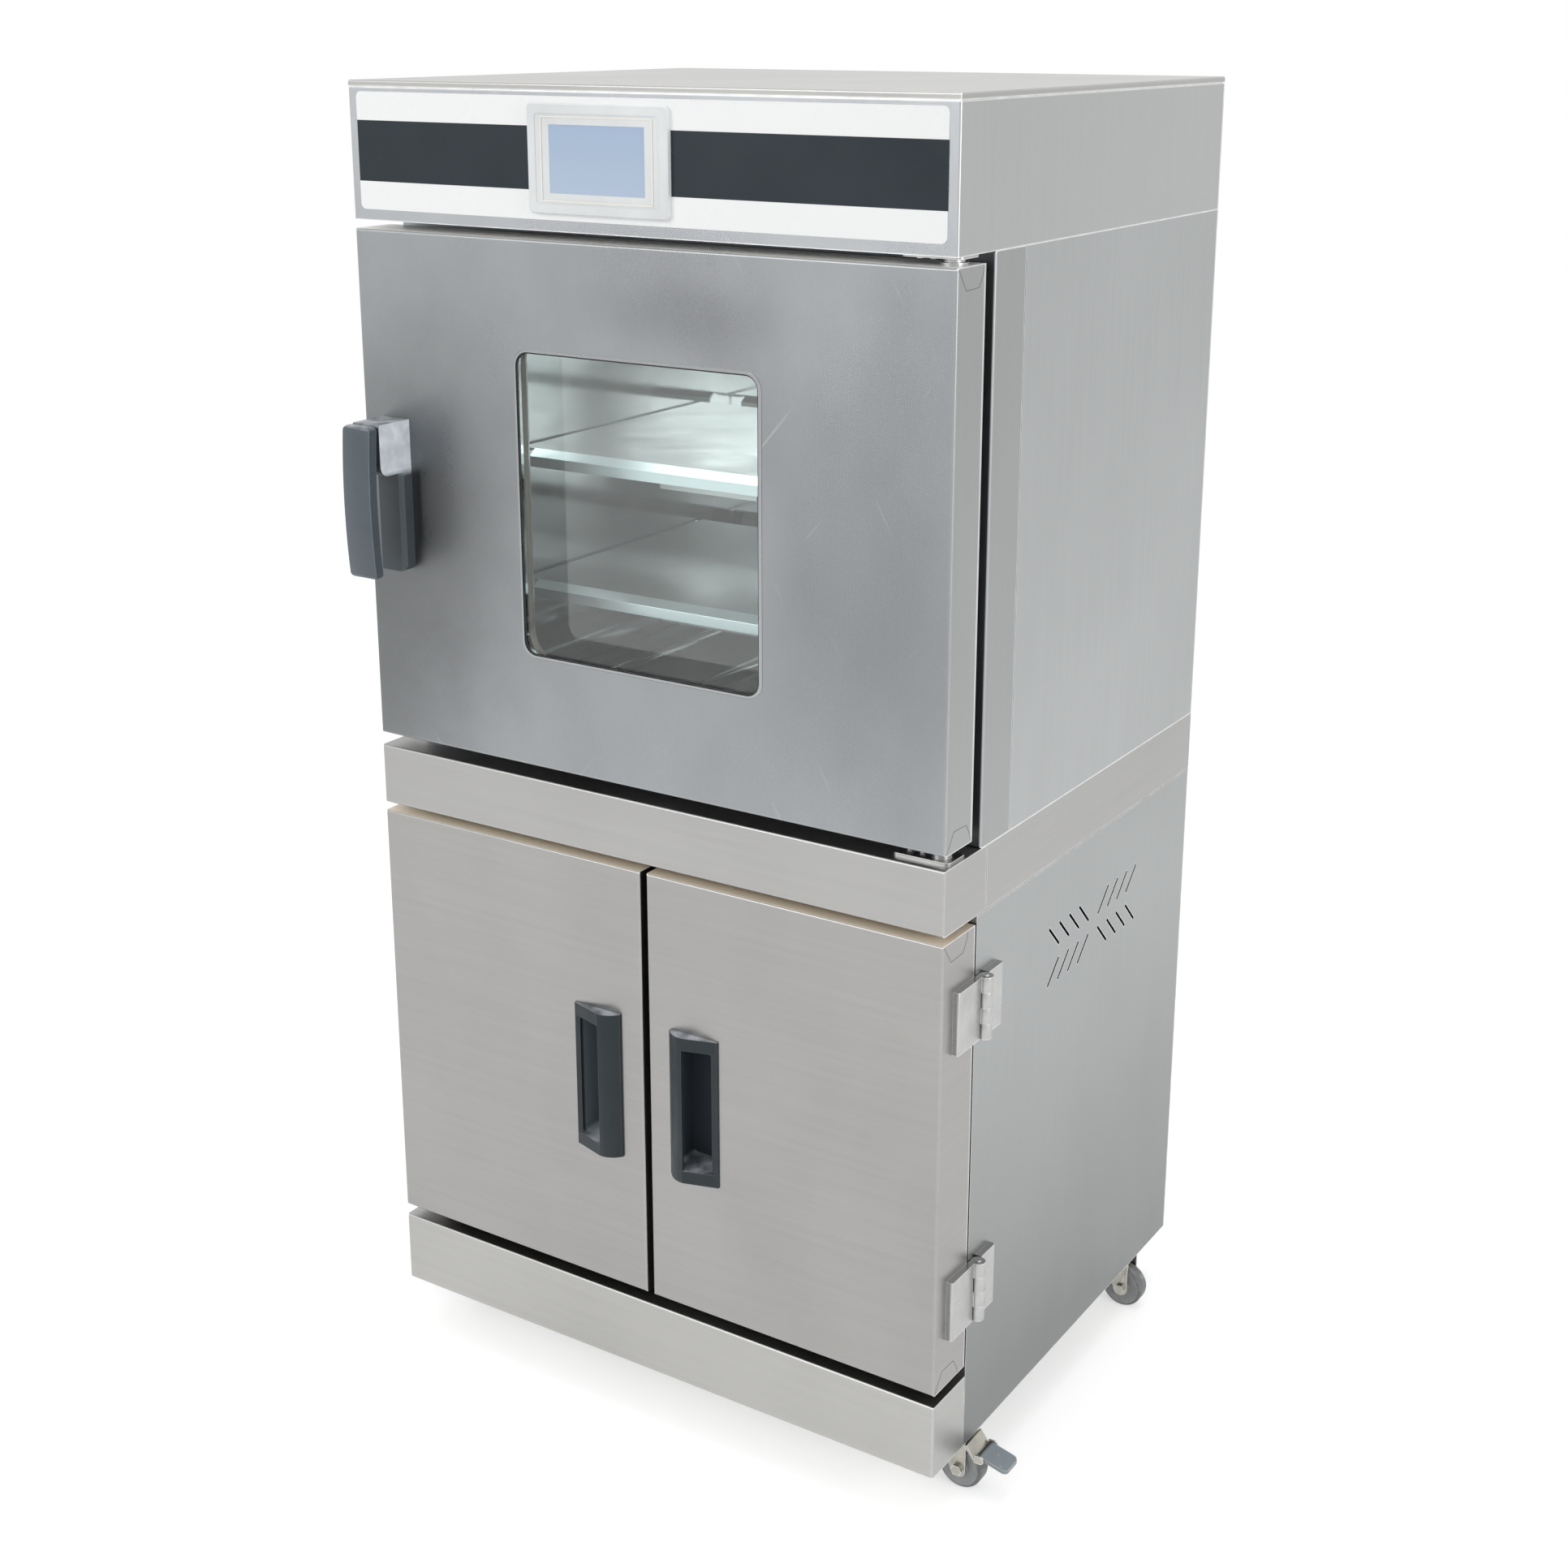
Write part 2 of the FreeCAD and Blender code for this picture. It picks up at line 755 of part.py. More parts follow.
def window_tunnel():
    """Sheet frame behind the skin that keeps the two panes apart."""
    y0 = front + sheet + outer_glass_thickness
    y1 = front + oven_door_thickness - lining_thickness - inner_glass_thickness
    frame = window_outline(tunnel_room + tunnel_wall, y0, y1)
    return frame.cut(window_outline(tunnel_room, y0 - sheet, y1 + sheet))


def window_bead():
    """Bright bead on the rim of the window cut-out."""
    outer = window_outline(bead_width, front - bead_stand, front)
    rim = [e for e in outer.Edges if e.BoundBox.YMax < front - bead_stand + 1e-6]
    outer = outer.makeChamfer(bead_bevel, rim)
    return outer.cut(window_outline(0, front - 2 * bead_stand, front + sheet))


def pivot_bush(z, up):
    """Flanged bush in the door's end wall; up is 1 at the top and -1 at the bottom."""
    flange_z = z if up > 0 else z - bush_flange
    flange = rod(V(pivot_x, pivot_y, flange_z), V(0, 0, 1), bush_flange_radius, bush_flange)
    sleeve = rod(V(pivot_x, pivot_y, z), V(0, 0, -up), bush_radius, pivot_engagement)
    bore = rod(V(pivot_x, pivot_y, z + up * 2 * bush_flange), V(0, 0, -up),
               pivot_radius + running_clearance, pivot_engagement + 3 * bush_flange)
    return flange.fuse(sleeve).cut(bore).removeSplitter()


def pivot_bracket(plate_z, up):
    """Screwed plate with the pivot pin; up is 1 for the lower bracket and -1 for the upper."""
    x1 = pivot_x + bracket_width / 2
    low = plate_z if up > 0 else plate_z - bracket_thickness
    plate = box(x1 - bracket_length, x1, pivot_y - bracket_width / 2, pivot_y + bracket_width / 2,
                low, low + bracket_thickness)
    plate = plate.makeFillet(bracket_corner, edges_along(plate, V(0, 0, 1)))
    gap = oven_door_gap if up > 0 else head_gap
    reach = gap - bush_flange
    pin = rod(V(pivot_x, pivot_y, plate_z), V(0, 0, up), pivot_radius,
              gap + pivot_engagement - bush_flange)
    seat_room = 0 if up > 0 else soft_clearance
    collar = rod(V(pivot_x, pivot_y, plate_z), V(0, 0, up), bush_radius, reach - seat_room)
    plate = plate.fuse(pin).fuse(collar)
    face = plate_z + up * bracket_thickness
    for i in (1, 2):
        screw_x = pivot_x - bush_radius - i * screw_pitch + screw_head_radius
        head = rod(V(screw_x, pivot_y, face), V(0, 0, up), screw_head_radius, screw_head_height)
        plate = plate.fuse(head)
    return plate.removeSplitter()


# Door latch

def latch_base():
    """Moulded base on the door: a slim body that swells into the shaft boss."""
    z1 = latch_z + boss_height / 2
    z0 = z1 - latch_length
    z_boss = z1 - boss_height
    x0 = latch_x - base_width / 2
    outline = [V(x0, front, z0), V(x0, front - base_depth, z0), V(x0, front - base_depth, z_boss),
               V(x0, front - boss_depth, z_boss), V(x0, front - boss_depth, z1), V(x0, front, z1)]
    base = polygon_prism(outline, V(base_width, 0, 0))
    lower_front = edges_along(base, V(0, 0, 1), lambda p: abs(p.y - front + base_depth) < 1e-6)
    base = base.makeChamfer(base_facet, lower_front)
    boss_edge = edges_along(base, V(1, 0, 0),
                            lambda p: abs(p.y - front + boss_depth) < 1e-6 and abs(p.z - z_boss) < 1e-6)
    base = base.makeFillet(boss_corner, boss_edge)
    brow = edges_along(base, V(1, 0, 0),
                       lambda p: abs(p.y - front + boss_depth) < 1e-6 and abs(p.z - z1) < 1e-6)
    base = base.makeFillet(boss_brow, brow)
    base = base.common(rounded_plate(latch_x, (z0 + z1) / 2 + base_corner, base_width,
                                     latch_length + 2 * base_corner, base_corner,
                                     front - 2 * boss_depth, front))
    bore = rod(V(latch_x, front - 2 * boss_depth, latch_z), V(0, 1, 0), shaft_radius + running_clearance,
               3 * boss_depth)
    return base.cut(bore)


def latch_lever():
    """Bowed grip bar with a rib behind it and the hub that turns in front of the boss."""
    y_back = front - grip_plane
    z1 = latch_z + boss_height / 2
    z0 = z1 - latch_length
    x0 = latch_x - grip_width / 2
    mid = (z0 + z1) / 2
    inner = Part.Arc(V(x0, y_back, z0), V(x0, y_back - grip_bow, mid), V(x0, y_back, z1)).toShape()
    face = y_back - grip_thickness
    outer = Part.Arc(V(x0, face, z1), V(x0, face - grip_bow, mid), V(x0, face, z0)).toShape()
    top = Part.makeLine(V(x0, y_back, z1), V(x0, face, z1))
    bottom = Part.makeLine(V(x0, face, z0), V(x0, y_back, z0))
    bar = Part.Face(Part.Wire([inner, top, outer, bottom])).extrude(V(grip_width, 0, 0))
    ends = edges_along(bar, V(1, 0, 0))
    bar = bar.makeFillet(grip_round, ends)
    bar = bar.common(rounded_plate(latch_x, mid, grip_width, latch_length, grip_corner,
                                   face - 2 * grip_bow, y_back + grip_thickness))
    rib = box(latch_x - rib_width / 2, latch_x + rib_width / 2,
              y_back - grip_bow, y_back + hub_length - lever_gap,
              z1 - rib_length, z1 - grip_round)
    hub = rod(V(latch_x, y_back - grip_bow, latch_z), V(0, 1, 0), hub_radius, hub_length + grip_bow)
    socket = rod(V(latch_x, y_back - grip_bow / 2, latch_z), V(0, 1, 0), shaft_radius, depth)
    return bar.fuse(rib).fuse(hub).cut(socket).removeSplitter()


def latch_shaft():
    """Steel shaft through boss and door, with the cam tongue behind the door."""
    y0 = front - grip_plane - grip_bow / 2
    y1 = front + oven_door_thickness + cam_gap + cam_thickness
    shaft = rod(V(latch_x, y0, latch_z), V(0, 1, 0), shaft_radius, y1 - y0)
    hub = rod(V(latch_x, y1 - cam_thickness, latch_z), V(0, 1, 0), cam_hub_radius, cam_thickness)
    tongue = box(latch_x - cam_length, latch_x, y1 - cam_thickness, y1, latch_z - cam_width / 2,
                 latch_z + cam_width / 2)
    tip = edges_along(tongue, V(0, 1, 0), lambda p: p.x < latch_x - cam_length + 1e-6)
    tongue = tongue.makeFillet(cam_width / 3, tip)
    return shaft.fuse(hub).fuse(tongue).removeSplitter()


def latch_keeper():
    """Folded bracket on the frame, whose lip stands just above the cam tongue."""
    x0 = latch_x - cam_length
    lip_z = latch_z + cam_width / 2 + keeper_lip_gap
    lip_y = front + oven_door_thickness + cam_gap
    foot = box(x0, x0 + keeper_width, body_front - keeper_sheet, body_front, lip_z, lip_z + keeper_height)
    riser = box(x0, x0 + keeper_width, lip_y, body_front, lip_z, lip_z + keeper_sheet)
    lip = box(x0, x0 + keeper_width, lip_y, lip_y + keeper_sheet, lip_z, lip_z + cam_width)
    keeper = foot.fuse(riser).fuse(lip).removeSplitter()
    fold = edges_along(keeper, V(1, 0, 0), lambda p: abs(p.z - lip_z) < 1e-6 and abs(p.y - lip_y) < 1e-6)
    return keeper.makeFillet(keeper_bend, fold)


# Band between the oven and the cabinet

def band_front():
    """Folded front rail of the band."""
    return pan(-half, half, front, front + band_front_depth, band_z, body_z)


def band_rear():
    """Deck that carries the oven, with the side and back walls of the band."""
    y0 = front + band_front_depth + seam
    ring = box(-half, half, y0, back, band_z, body_z)
    hollow = box(-half + sheet, half - sheet, y0 - sheet, back - sheet, band_z + sheet, body_z + sheet)
    ring = ring.cut(hollow)
    tongue = box(-half + sheet, half - sheet, front + band_front_depth - front_flange, y0 + front_flange,
                 band_z + sheet, band_z + 2 * sheet)
    ledge = box(-half + sheet, half - sheet, body_front, body_front + front_flange, body_z - 2 * sheet,
                body_z - sheet)
    web = box(-half + sheet, half - sheet,
              front + band_front_depth - 2 * sheet, front + band_front_depth - sheet,
              band_z + sheet, body_z - sheet)
    return ring.fuse(tongue).fuse(ledge).fuse(web).removeSplitter()


# Lower cabinet

def vent_slots(side_x):
    """Four groups of slanted slots that form a cross pattern."""
    cy = front + vent_centre_back
    cz = plinth_z + vent_centre_height
    slots = []
    for side in (1, -1):
        for row in (1, -1):
            for i in range(vent_count):
                y_in = cy + side * (vent_half_gap + i * vent_pitch)
                if row > 0:
                    y_a, z_a = y_in, cz + vent_row_gap / 2
                else:
                    y_a, z_a = y_in, cz - vent_row_gap / 2 - vent_span
                y_b = y_a + side * vent_span
                z_b = z_a + vent_span
                if row < 0:
                    y_a, y_b = y_b, y_a
                slots.append(slanted_slot(side_x, V(0, y_a, z_a), V(0, y_b, z_b)))
    return Part.makeCompound(slots)


def slanted_slot(side_x, a, b):
    """Narrow slot through a side sheet, from one end point to the other."""
    unit = V(0, b.y - a.y, b.z - a.z).normalize()
    across = V(0, -unit.z, unit.y) * (vent_width / 2)
    inside = V(side_x - 2 * sheet, 0, 0)
    corners = [inside + a + across, inside + b + across, inside + b - across, inside + a - across]
    return polygon_prism(corners, V(4 * sheet, 0, 0))


def cabinet_side():
    """Right side sheet of the pump cabinet, with vents and a folded front flange."""
    panel = box(half - sheet, half, cabinet_front + seam, back - sheet, plinth_z, band_z - seam)
    flange = box(half - front_flange, half, cabinet_front + seam, cabinet_front + seam + sheet,
                 plinth_z + plinth_height, band_z - seam)
    top = box(half - front_flange, half, cabinet_front + seam, back - sheet,
              band_z - seam - sheet, band_z - seam)
    side = panel.fuse(flange).fuse(top).removeSplitter()
    return side.cut(vent_slots(half))


def cabinet_back():
    return box(-half, half, back - sheet, back, plinth_z, band_z)


def cabinet_floor():
    """Floor sheet, notched in front for the flanges of the side sheets."""
    x1 = half - sheet
    z = plinth_z + plinth_height
    floor = box(-x1, x1, cabinet_front + seam, back - sheet, z - sheet, z)
    notch = box(x1 - front_flange, x1 + sheet, cabinet_front, cabinet_front + seam + sheet,
                z - 2 * sheet, z)
    return floor.cut(notch).cut(mirrored(notch))


def base_rail(y0):
    """Upturned channel across the cabinet that carries two casters."""
    x1 = half - sheet
    z1 = plinth_z + plinth_height - sheet
    block = box(-x1, x1, y0, y0 + rail_width, plinth_z, z1)
    hollow = box(-x1 - sheet, x1 + sheet, y0 + 2 * sheet, y0 + rail_width - 2 * sheet,
                 plinth_z + 2 * sheet, z1)
    return block.cut(hollow)


def plinth():
    return pan(-half, half, front, cabinet_front, plinth_z, plinth_z + plinth_height)


def door_catch(side):
    """Magnetic catch under the band, one for each lower door."""
    cx = side * (lower_door_split / 2 + catch_offset)
    y0 = front + lower_door_thickness + soft_clearance
    body = box(cx - catch_width / 2, cx + catch_width / 2, y0 + catch_depth / 3, y0 + catch_depth,
               band_z - catch_height, band_z)
    magnet = box(cx - catch_width / 3, cx + catch_width / 3, y0, y0 + catch_depth / 2,
                 band_z - catch_height + 2 * sheet, band_z - 2 * lower_door_gap / 3 - sheet)
    return body.fuse(magnet).removeSplitter()


# Lower doors, drawn for the right side

def pull_frame():
    """Centre and level of the right door's pull handle."""
    cx = lower_door_split / 2 + pull_inset + pull_width / 2
    z1 = lower_door_z + lower_door_height - pull_drop
    return cx, z1 - pull_height / 2


def pull_cup():
    """Width and height over the walls of the finger pocket."""
    return pull_width - 2 * pull_border, pull_height - 2 * (pull_cap - pull_wall)


def pull_pocket(grow, y0, y1):
    cx, cz = pull_frame()
    w, h = pull_cup()
    return rounded_plate(cx, cz, w + 2 * grow, h + 2 * grow, pull_corner + grow, y0, y1)


def lower_door():
    """Folded tray and its back sheet."""
    x0 = lower_door_split / 2
    y1 = front + lower_door_thickness - lining_thickness
    z1 = lower_door_z + lower_door_height
    tray = pan(x0, half, front, y1, lower_door_z, z1)
    tray = tray.cut(pull_pocket(pull_fit, front - sheet, front + 2 * sheet))
    lining = box(x0, half, y1, y1 + lining_thickness, lower_door_z, z1)
    return tray, lining


def tapered_pocket(cx, cz, w, h, y0, y1, draft):
    """Pocket that narrows towards its floor."""
    faces = []
    for y, shrink in ((y0, 0.0), (y1, draft)):
        outline = rounded_plate(cx, cz, w - 2 * shrink, h - 2 * shrink, pull_corner, y, y + sheet)
        rim = [f for f in outline.Faces if f.BoundBox.YMax < y + 1e-6][0]
        faces.append(rim.OuterWire)
    return Part.makeLoft(faces, True, True)


def pull_handle():
    """Moulded pull: an arched grip whose end caps slope down to the flange, round a pocket."""
    cx, cz = pull_frame()
    x0 = cx - pull_width / 2
    x1 = cx + pull_width / 2
    z0 = cz - pull_height / 2
    face = front - pull_flange
    foot = V(x0, front, z0)
    toe = V(x0, front - pull_flange / 2, z0)
    crown = V(x0 + pull_crown_width, front - pull_crown_stand, z0)
    shoulder = V(x0 + pull_shoulder_width, front - pull_shoulder_stand, z0)
    arch = [Part.makeLine(foot, toe), Part.Arc(toe, shoulder, crown).toShape()]
    flange = polygon_prism([foot, V(x0, face, z0), V(x1 - pull_flange_bevel, face, z0),
                            V(x1, face + pull_flange_bevel, z0), V(x1, front, z0)], V(0, 0, pull_height))
    cup_w, cup_h = pull_cup()
    cup = tapered_pocket(cx, cz, cup_w, cup_h, front, front + pull_depth, pull_draft)
    hollow = tapered_pocket(cx, cz, cup_w - 2 * pull_wall, cup_h - 2 * pull_wall,
                            front - 2 * pull_flange, front + pull_depth - pull_wall, pull_draft)
    body = flange.fuse(cup).cut(hollow)
    slope_end = V(x1 - 2 * pull_flange_bevel, face, z0)
    slope_foot = V(slope_end.x, front, z0)
    cap_wire = Part.Wire(arch + [Part.makeLine(crown, slope_end), Part.makeLine(slope_end, slope_foot),
                                 Part.makeLine(slope_foot, foot)])
    cap = Part.Face(cap_wire).extrude(V(0, 0, pull_cap))
    top_cap = cap.translated(V(0, 0, pull_height - pull_cap))
    lip = V(crown.x, crown.y + pull_lip, z0)
    under = V(x0 + pull_under_width, front - pull_under_stand, z0)
    root = V(x0 + pull_border + pull_wall, front, z0)
    grip_wire = Part.Wire(arch + [Part.makeLine(crown, lip), Part.Arc(lip, under, root).toShape(),
                                  Part.makeLine(root, foot)])
    grip = Part.Face(grip_wire).extrude(V(0, 0, pull_height))
    return body.fuse([cap, top_cap, grip]).removeSplitter()


# Block hinges, drawn for the right side

def knuckle(z0, z1):
    return rod(V(hinge_x, hinge_y, z0), V(0, 0, 1), hinge_radius, z1 - z0)


def hinge_leaf(z0, on_door):
    """Thick leaf with every second knuckle of the barrel."""
    z1 = z0 + hinge_height
    reach = hinge_radius + hinge_leaf_clearance
    if on_door:
        y0 = hinge_y - reach - hinge_door_leaf
        y1 = hinge_y - reach
    else:
        y0 = hinge_y + reach
        y1 = hinge_y + reach + hinge_body_leaf
    leaf = box(half, half + hinge_leaf_thickness, y0, y1, z0, z1)
    far_y = y0 if on_door else y1
    outer = edges_along(leaf, V(0, 0, 1), lambda p: p.x > half + 1 and abs(p.y - far_y) < 1e-6)
    leaf = leaf.makeFillet(hinge_round, outer)
    pitch = hinge_height / hinge_knuckles
    for i in range(hinge_knuckles):
        if (i % 2 == 0) == on_door:
            continue
        k0 = z0 + i * pitch + hinge_play / 2
        k1 = z0 + (i + 1) * pitch - hinge_play / 2
        web_reach = reach + hinge_round
        w0 = hinge_y - web_reach if on_door else hinge_y
        web = box(hinge_x - hinge_radius + hinge_play, half + hinge_leaf_thickness,
                  w0, w0 + web_reach, k0, k1)
        leaf = leaf.fuse(knuckle(k0, k1)).fuse(web)
    hole = rod(V(hinge_x, hinge_y, z0 - sheet), V(0, 0, 1), hinge_pin_radius + running_clearance,
               hinge_height + 2 * sheet)
    return leaf.cut(hole).removeSplitter()


def hinge_pin(z0):
    """Pin that stands out a little at both ends of the barrel."""
    return rod(V(hinge_x, hinge_y, z0 - hinge_pin_stand), V(0, 0, 1), hinge_pin_radius,
               hinge_height + 2 * hinge_pin_stand)


def hinge_levels():
    low = lower_door_z + hinge_inset
    high = lower_door_z + lower_door_height - hinge_inset - hinge_height
    return low, high


# Casters, drawn at the swivel axis of a right-hand caster that trails to the right

def caster_plate(cx, cy):
    z1 = caster_height
    plate = box(cx - plate_size / 2, cx + plate_size / 2, cy - plate_size / 2, cy + plate_size / 2,
                z1 - plate_thickness, z1)
    plate = plate.makeFillet(plate_corner, edges_along(plate, V(0, 0, 1)))
    race = rod(V(cx, cy, z1 - plate_thickness - race_height), V(0, 0, 1), race_radius, race_height)
    pin_top = z1 - plate_thickness - race_height
    pin = rod(V(cx, cy, pin_top - race_height), V(0, 0, 1), kingpin_radius, 2 * race_height)
    return plate.fuse(race).fuse(pin).removeSplitter()


def fork_top():
    return caster_height - plate_thickness - race_height - race_gap


def caster_fork(cx, cy):
    """Folded fork: crown with the kingpin hole and two tapering legs."""
    top = fork_top()
    inner = wheel_width / 2 + fork_gap
    outer = inner + fork_sheet
    crown = rod(V(cx, cy, top - fork_sheet), V(0, 0, 1), race_radius, fork_sheet)
    saddle = box(cx - fork_head / 2, cx + caster_trail, cy - outer, cy + outer, top - fork_sheet, top)
    solid = crown.fuse(saddle)
    for side in (-1, 1):
        y0 = cy + side * inner
        leg = fork_leg(cx, y0, side, top)
        solid = solid.fuse(leg)
    hole = rod(V(cx, cy, top - 3 * fork_sheet), V(0, 0, 1), kingpin_radius + running_clearance,
               6 * fork_sheet)
    solid = solid.cut(hole)
    axle_hole = rod(V(cx + caster_trail, cy - 2 * outer, wheel_radius), V(0, 1, 0),
                    axle_radius + running_clearance, 4 * outer)
    return solid.cut(axle_hole).removeSplitter()


def fork_leg(cx, y0, side, top):
    """Leg outline: wide at the crown, round at the axle."""
    ax = cx + caster_trail
    foot = Part.Arc(V(ax + fork_foot, y0, wheel_radius), V(ax, y0, wheel_radius - fork_foot),
                    V(ax - fork_foot, y0, wheel_radius)).toShape()
    left = V(cx - fork_head / 2, y0, top)
    right = V(ax + fork_foot, y0, top)
    sides = [Part.makeLine(V(ax - fork_foot, y0, wheel_radius), left), Part.makeLine(left, right),
             Part.makeLine(right, V(ax + fork_foot, y0, wheel_radius))]
    return Part.Face(Part.Wire([foot] + sides)).extrude(V(0, side * fork_sheet, 0))


def axle_bolt(cx, cy):
    outer = wheel_width / 2 + fork_gap + fork_sheet
    start = V(cx + caster_trail, cy - outer - axle_nut_length, wheel_radius)
    bolt = rod(start, V(0, 1, 0), axle_radius, 2 * outer + 2 * axle_nut_length)
    for y in (cy - outer - axle_nut_length, cy + outer):
        bolt = bolt.fuse(hex_nut(V(cx + caster_trail, y, wheel_radius)))
    return bolt.removeSplitter()


def hex_nut(base):
    corners = []
    for i in range(6):
        a = math.radians(60 * i)
        corners.append(base + V(axle_nut_radius * math.cos(a), 0, axle_nut_radius * math.sin(a)))
    return polygon_prism(corners, V(0, axle_nut_length, 0))


def caster_wheel(cx, cy):
    """Revolved wheel with a bevelled tread, dished sides and a hub."""
    w = wheel_width / 2
    r = wheel_radius
    bore = axle_radius + running_clearance
    hub = w + fork_gap - soft_clearance
    half_profile = [V(bore, hub, 0), V(wheel_hub_radius, hub, 0), V(wheel_hub_radius, w - wheel_dish, 0),
                    V(r - wheel_tread, w, 0), V(r - wheel_bevel, w, 0), V(r, w - wheel_bevel, 0)]
    outline = half_profile + [V(p.x, -p.y, 0) for p in reversed(half_profile)]
    wheel = Part.Face(Part.makePolygon(outline + [outline[0]]))
    wheel = wheel.revolve(V(0, 0, 0), V(0, 1, 0), 360)
    wheel.translate(V(cx + caster_trail, cy, wheel_radius))
    return wheel


def brake_hood(cx, cy):
    """Sloped hood in front of the wheel that carries the pedal; it is welded to the fork."""
    top = fork_top() - fork_sheet
    x0 = cx + caster_trail + fork_foot
    x1 = x0 + brake_front
    w = brake_width / 2
    outline = [V(x0, cy - w, top + fork_sheet), V(x0, cy - w, top), V(x1, cy - w, top - brake_drop),
               V(x1 + fork_sheet, cy - w, top - brake_drop), V(x0 + fork_sheet, cy - w, top + fork_sheet)]
    return polygon_prism(outline, V(0, brake_width, 0))


def pedal_axis(cx):
    """Point on the pedal's pivot line."""
    x = cx + caster_trail + fork_foot + brake_front + fork_sheet + pedal_roll_radius + soft_clearance
    z = fork_top() - fork_sheet - brake_drop + pedal_roll_radius
    return x, z


def pedal_ears(cx, cy):
    """Two ears on the hood and the pin between them."""
    x, z = pedal_axis(cx)
    w = brake_width / 2
    x0 = cx + caster_trail + fork_foot + brake_front
    ears = rod(V(x, cy - w, z), V(0, 1, 0), pedal_pin_radius, brake_width)
    for y in (cy - w, cy + w - pedal_ear):
        ears = ears.fuse(rod(V(x, y, z), V(0, 1, 0), pedal_ear_radius, pedal_ear))
        ears = ears.fuse(box(x0, x, y, y + pedal_ear, z - pedal_ear_radius, z + pedal_ear_radius))
    return ears


def brake_pedal(cx, cy):
    """Foot pedal with a rolled root on the pin and a drooping, round-ended tread."""
    x, z = pedal_axis(cx)
    w = brake_width / 2 - pedal_ear - soft_clearance
    roll = rod(V(x, cy - w, z), V(0, 1, 0), pedal_roll_radius, 2 * w)
    outline = [V(x, cy - w, z + pedal_roll_radius), V(x, cy - w, z + pedal_roll_radius - pedal_thickness),
               V(x + pedal_length, cy - w, z - 2 * pedal_thickness),
               V(x + pedal_length, cy - w, z - pedal_thickness)]
    tread = polygon_prism(outline, V(0, 2 * w, 0))
    tips = [e for e in tread.Edges if e.CenterOfMass.x > x + pedal_length - 1e-3
            and abs(e.CenterOfMass.y - cy) > w - 1e-3]
    tread = tread.makeFillet(pedal_round, tips)
    bore = rod(V(x, cy - brake_width, z), V(0, 1, 0), pedal_pin_radius + running_clearance, 2 * brake_width)
    return roll.fuse(tread).cut(bore).removeSplitter()


def build_casters():
    places = {"front_right": (1, front + caster_front_setback), "rear_right": (1, back - caster_rear_setback),
              "front_left": (-1, front + caster_front_setback), "rear_left": (-1, back - caster_rear_setback)}
    cx = half - caster_inset
    plates = []
    for name, (side, cy) in places.items():
        turn = (lambda s: s) if side > 0 else mirrored
        plates.append(turn(caster_plate(cx, cy)))
        fork = caster_fork(cx, cy)
        if name.startswith("front"):
            fork = fork.fuse(brake_hood(cx, cy)).fuse(pedal_ears(cx, cy)).removeSplitter()
            save("brake_pedal_" + name, turn(brake_pedal(cx, cy)))
        save("caster_fork_" + name, turn(fork), turn(axle_bolt(cx, cy)))
        save("caster_wheel_" + name, turn(caster_wheel(cx, cy)))
    save("caster_plates", *plates)


def build_head():
    save("head_housing", head_housing())
    save("head_back", head_back())
    save("head_cover", head_cover())
    save("fascia_film", fascia_film())
    save("touch_panel_bezel", panel_bezel())
    save("touch_panel_screen", panel_screen())
    save("control_electronics", *control_electronics())
    save("mains_gland", mains_gland())


def build_upper_body():
    side = body_side_panel()
    save("body_front_frame", front_frame())
    save("body_side_panels", side, mirrored(side))
    save("body_back_panel", body_back_panel())
    save("chamber", chamber())
    save("chamber_floor_pan", chamber_floor_pan())
    save("heater_mats", *heater_mats())
    save("insulation", insulation())
    save("vacuum_port", vacuum_port())
    save("temperature_probe", temperature_probe())
    save("door_seal", door_seal())
    runners = [runner(level) for level in shelf_heights]
    save("shelf_runners", *(runners + [mirrored(r) for r in runners]))
    save("shelf_lower", shelf(shelf_heights[0]))
    save("shelf_upper", shelf(shelf_heights[1]))
    save("latch_keeper", latch_keeper())
    save("pivot_brackets", pivot_bracket(body_z, 1), pivot_bracket(head_z, -1))


def build_oven_door():
    save("oven_door_skin", door_skin())
    save("oven_door_lining", door_lining())
    save("oven_door_core", door_core())
    save("outer_glass", outer_glass())
    save("inner_glass", inner_glass())
    save("window_tunnel", window_tunnel())
    save("window_bead", window_bead())
    top = oven_door_z + oven_door_height
    save("pivot_bushes", pivot_bush(oven_door_z, -1), pivot_bush(top, 1))
    save("latch_base", latch_base())
    save("latch_lever", latch_lever())
    save("latch_shaft", latch_shaft())


def build_cabinet():
    side = cabinet_side()
    save("band_front", band_front())
    save("band_rear", band_rear())
    save("cabinet_side_right", side)
    save("cabinet_side_left", mirrored(side))
    save("cabinet_back", cabinet_back())
    save("cabinet_floor", cabinet_floor(), base_rail(cabinet_front),
         base_rail(back - rail_inset_back - rail_width))
    save("plinth", plinth())
    save("door_catches", door_catch(1), door_catch(-1))


def build_lower_doors():
    tray, lining = lower_door()
    pull = pull_handle()
    levels = hinge_levels()
    door_leaves = [hinge_leaf(z, True) for z in levels]
    body_leaves = [hinge_leaf(z, False) for z in levels]
    pins = [hinge_pin(z) for z in levels]
    save("lower_door_right", tray, lining)
    save("lower_door_left", mirrored(tray), mirrored(lining))
    save("pull_right", pull)
    save("pull_left", mirrored(pull))
    save("door_hinge_leaves_right", *door_leaves)
    save("door_hinge_leaves_left", *[mirrored(s) for s in door_leaves])
    fixed = body_leaves + pins
    save("cabinet_hinge_leaves", *(fixed + [mirrored(s) for s in fixed]))


build_head()
build_upper_body()
build_oven_door()
build_cabinet()
build_lower_doors()
build_casters()
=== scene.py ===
import math

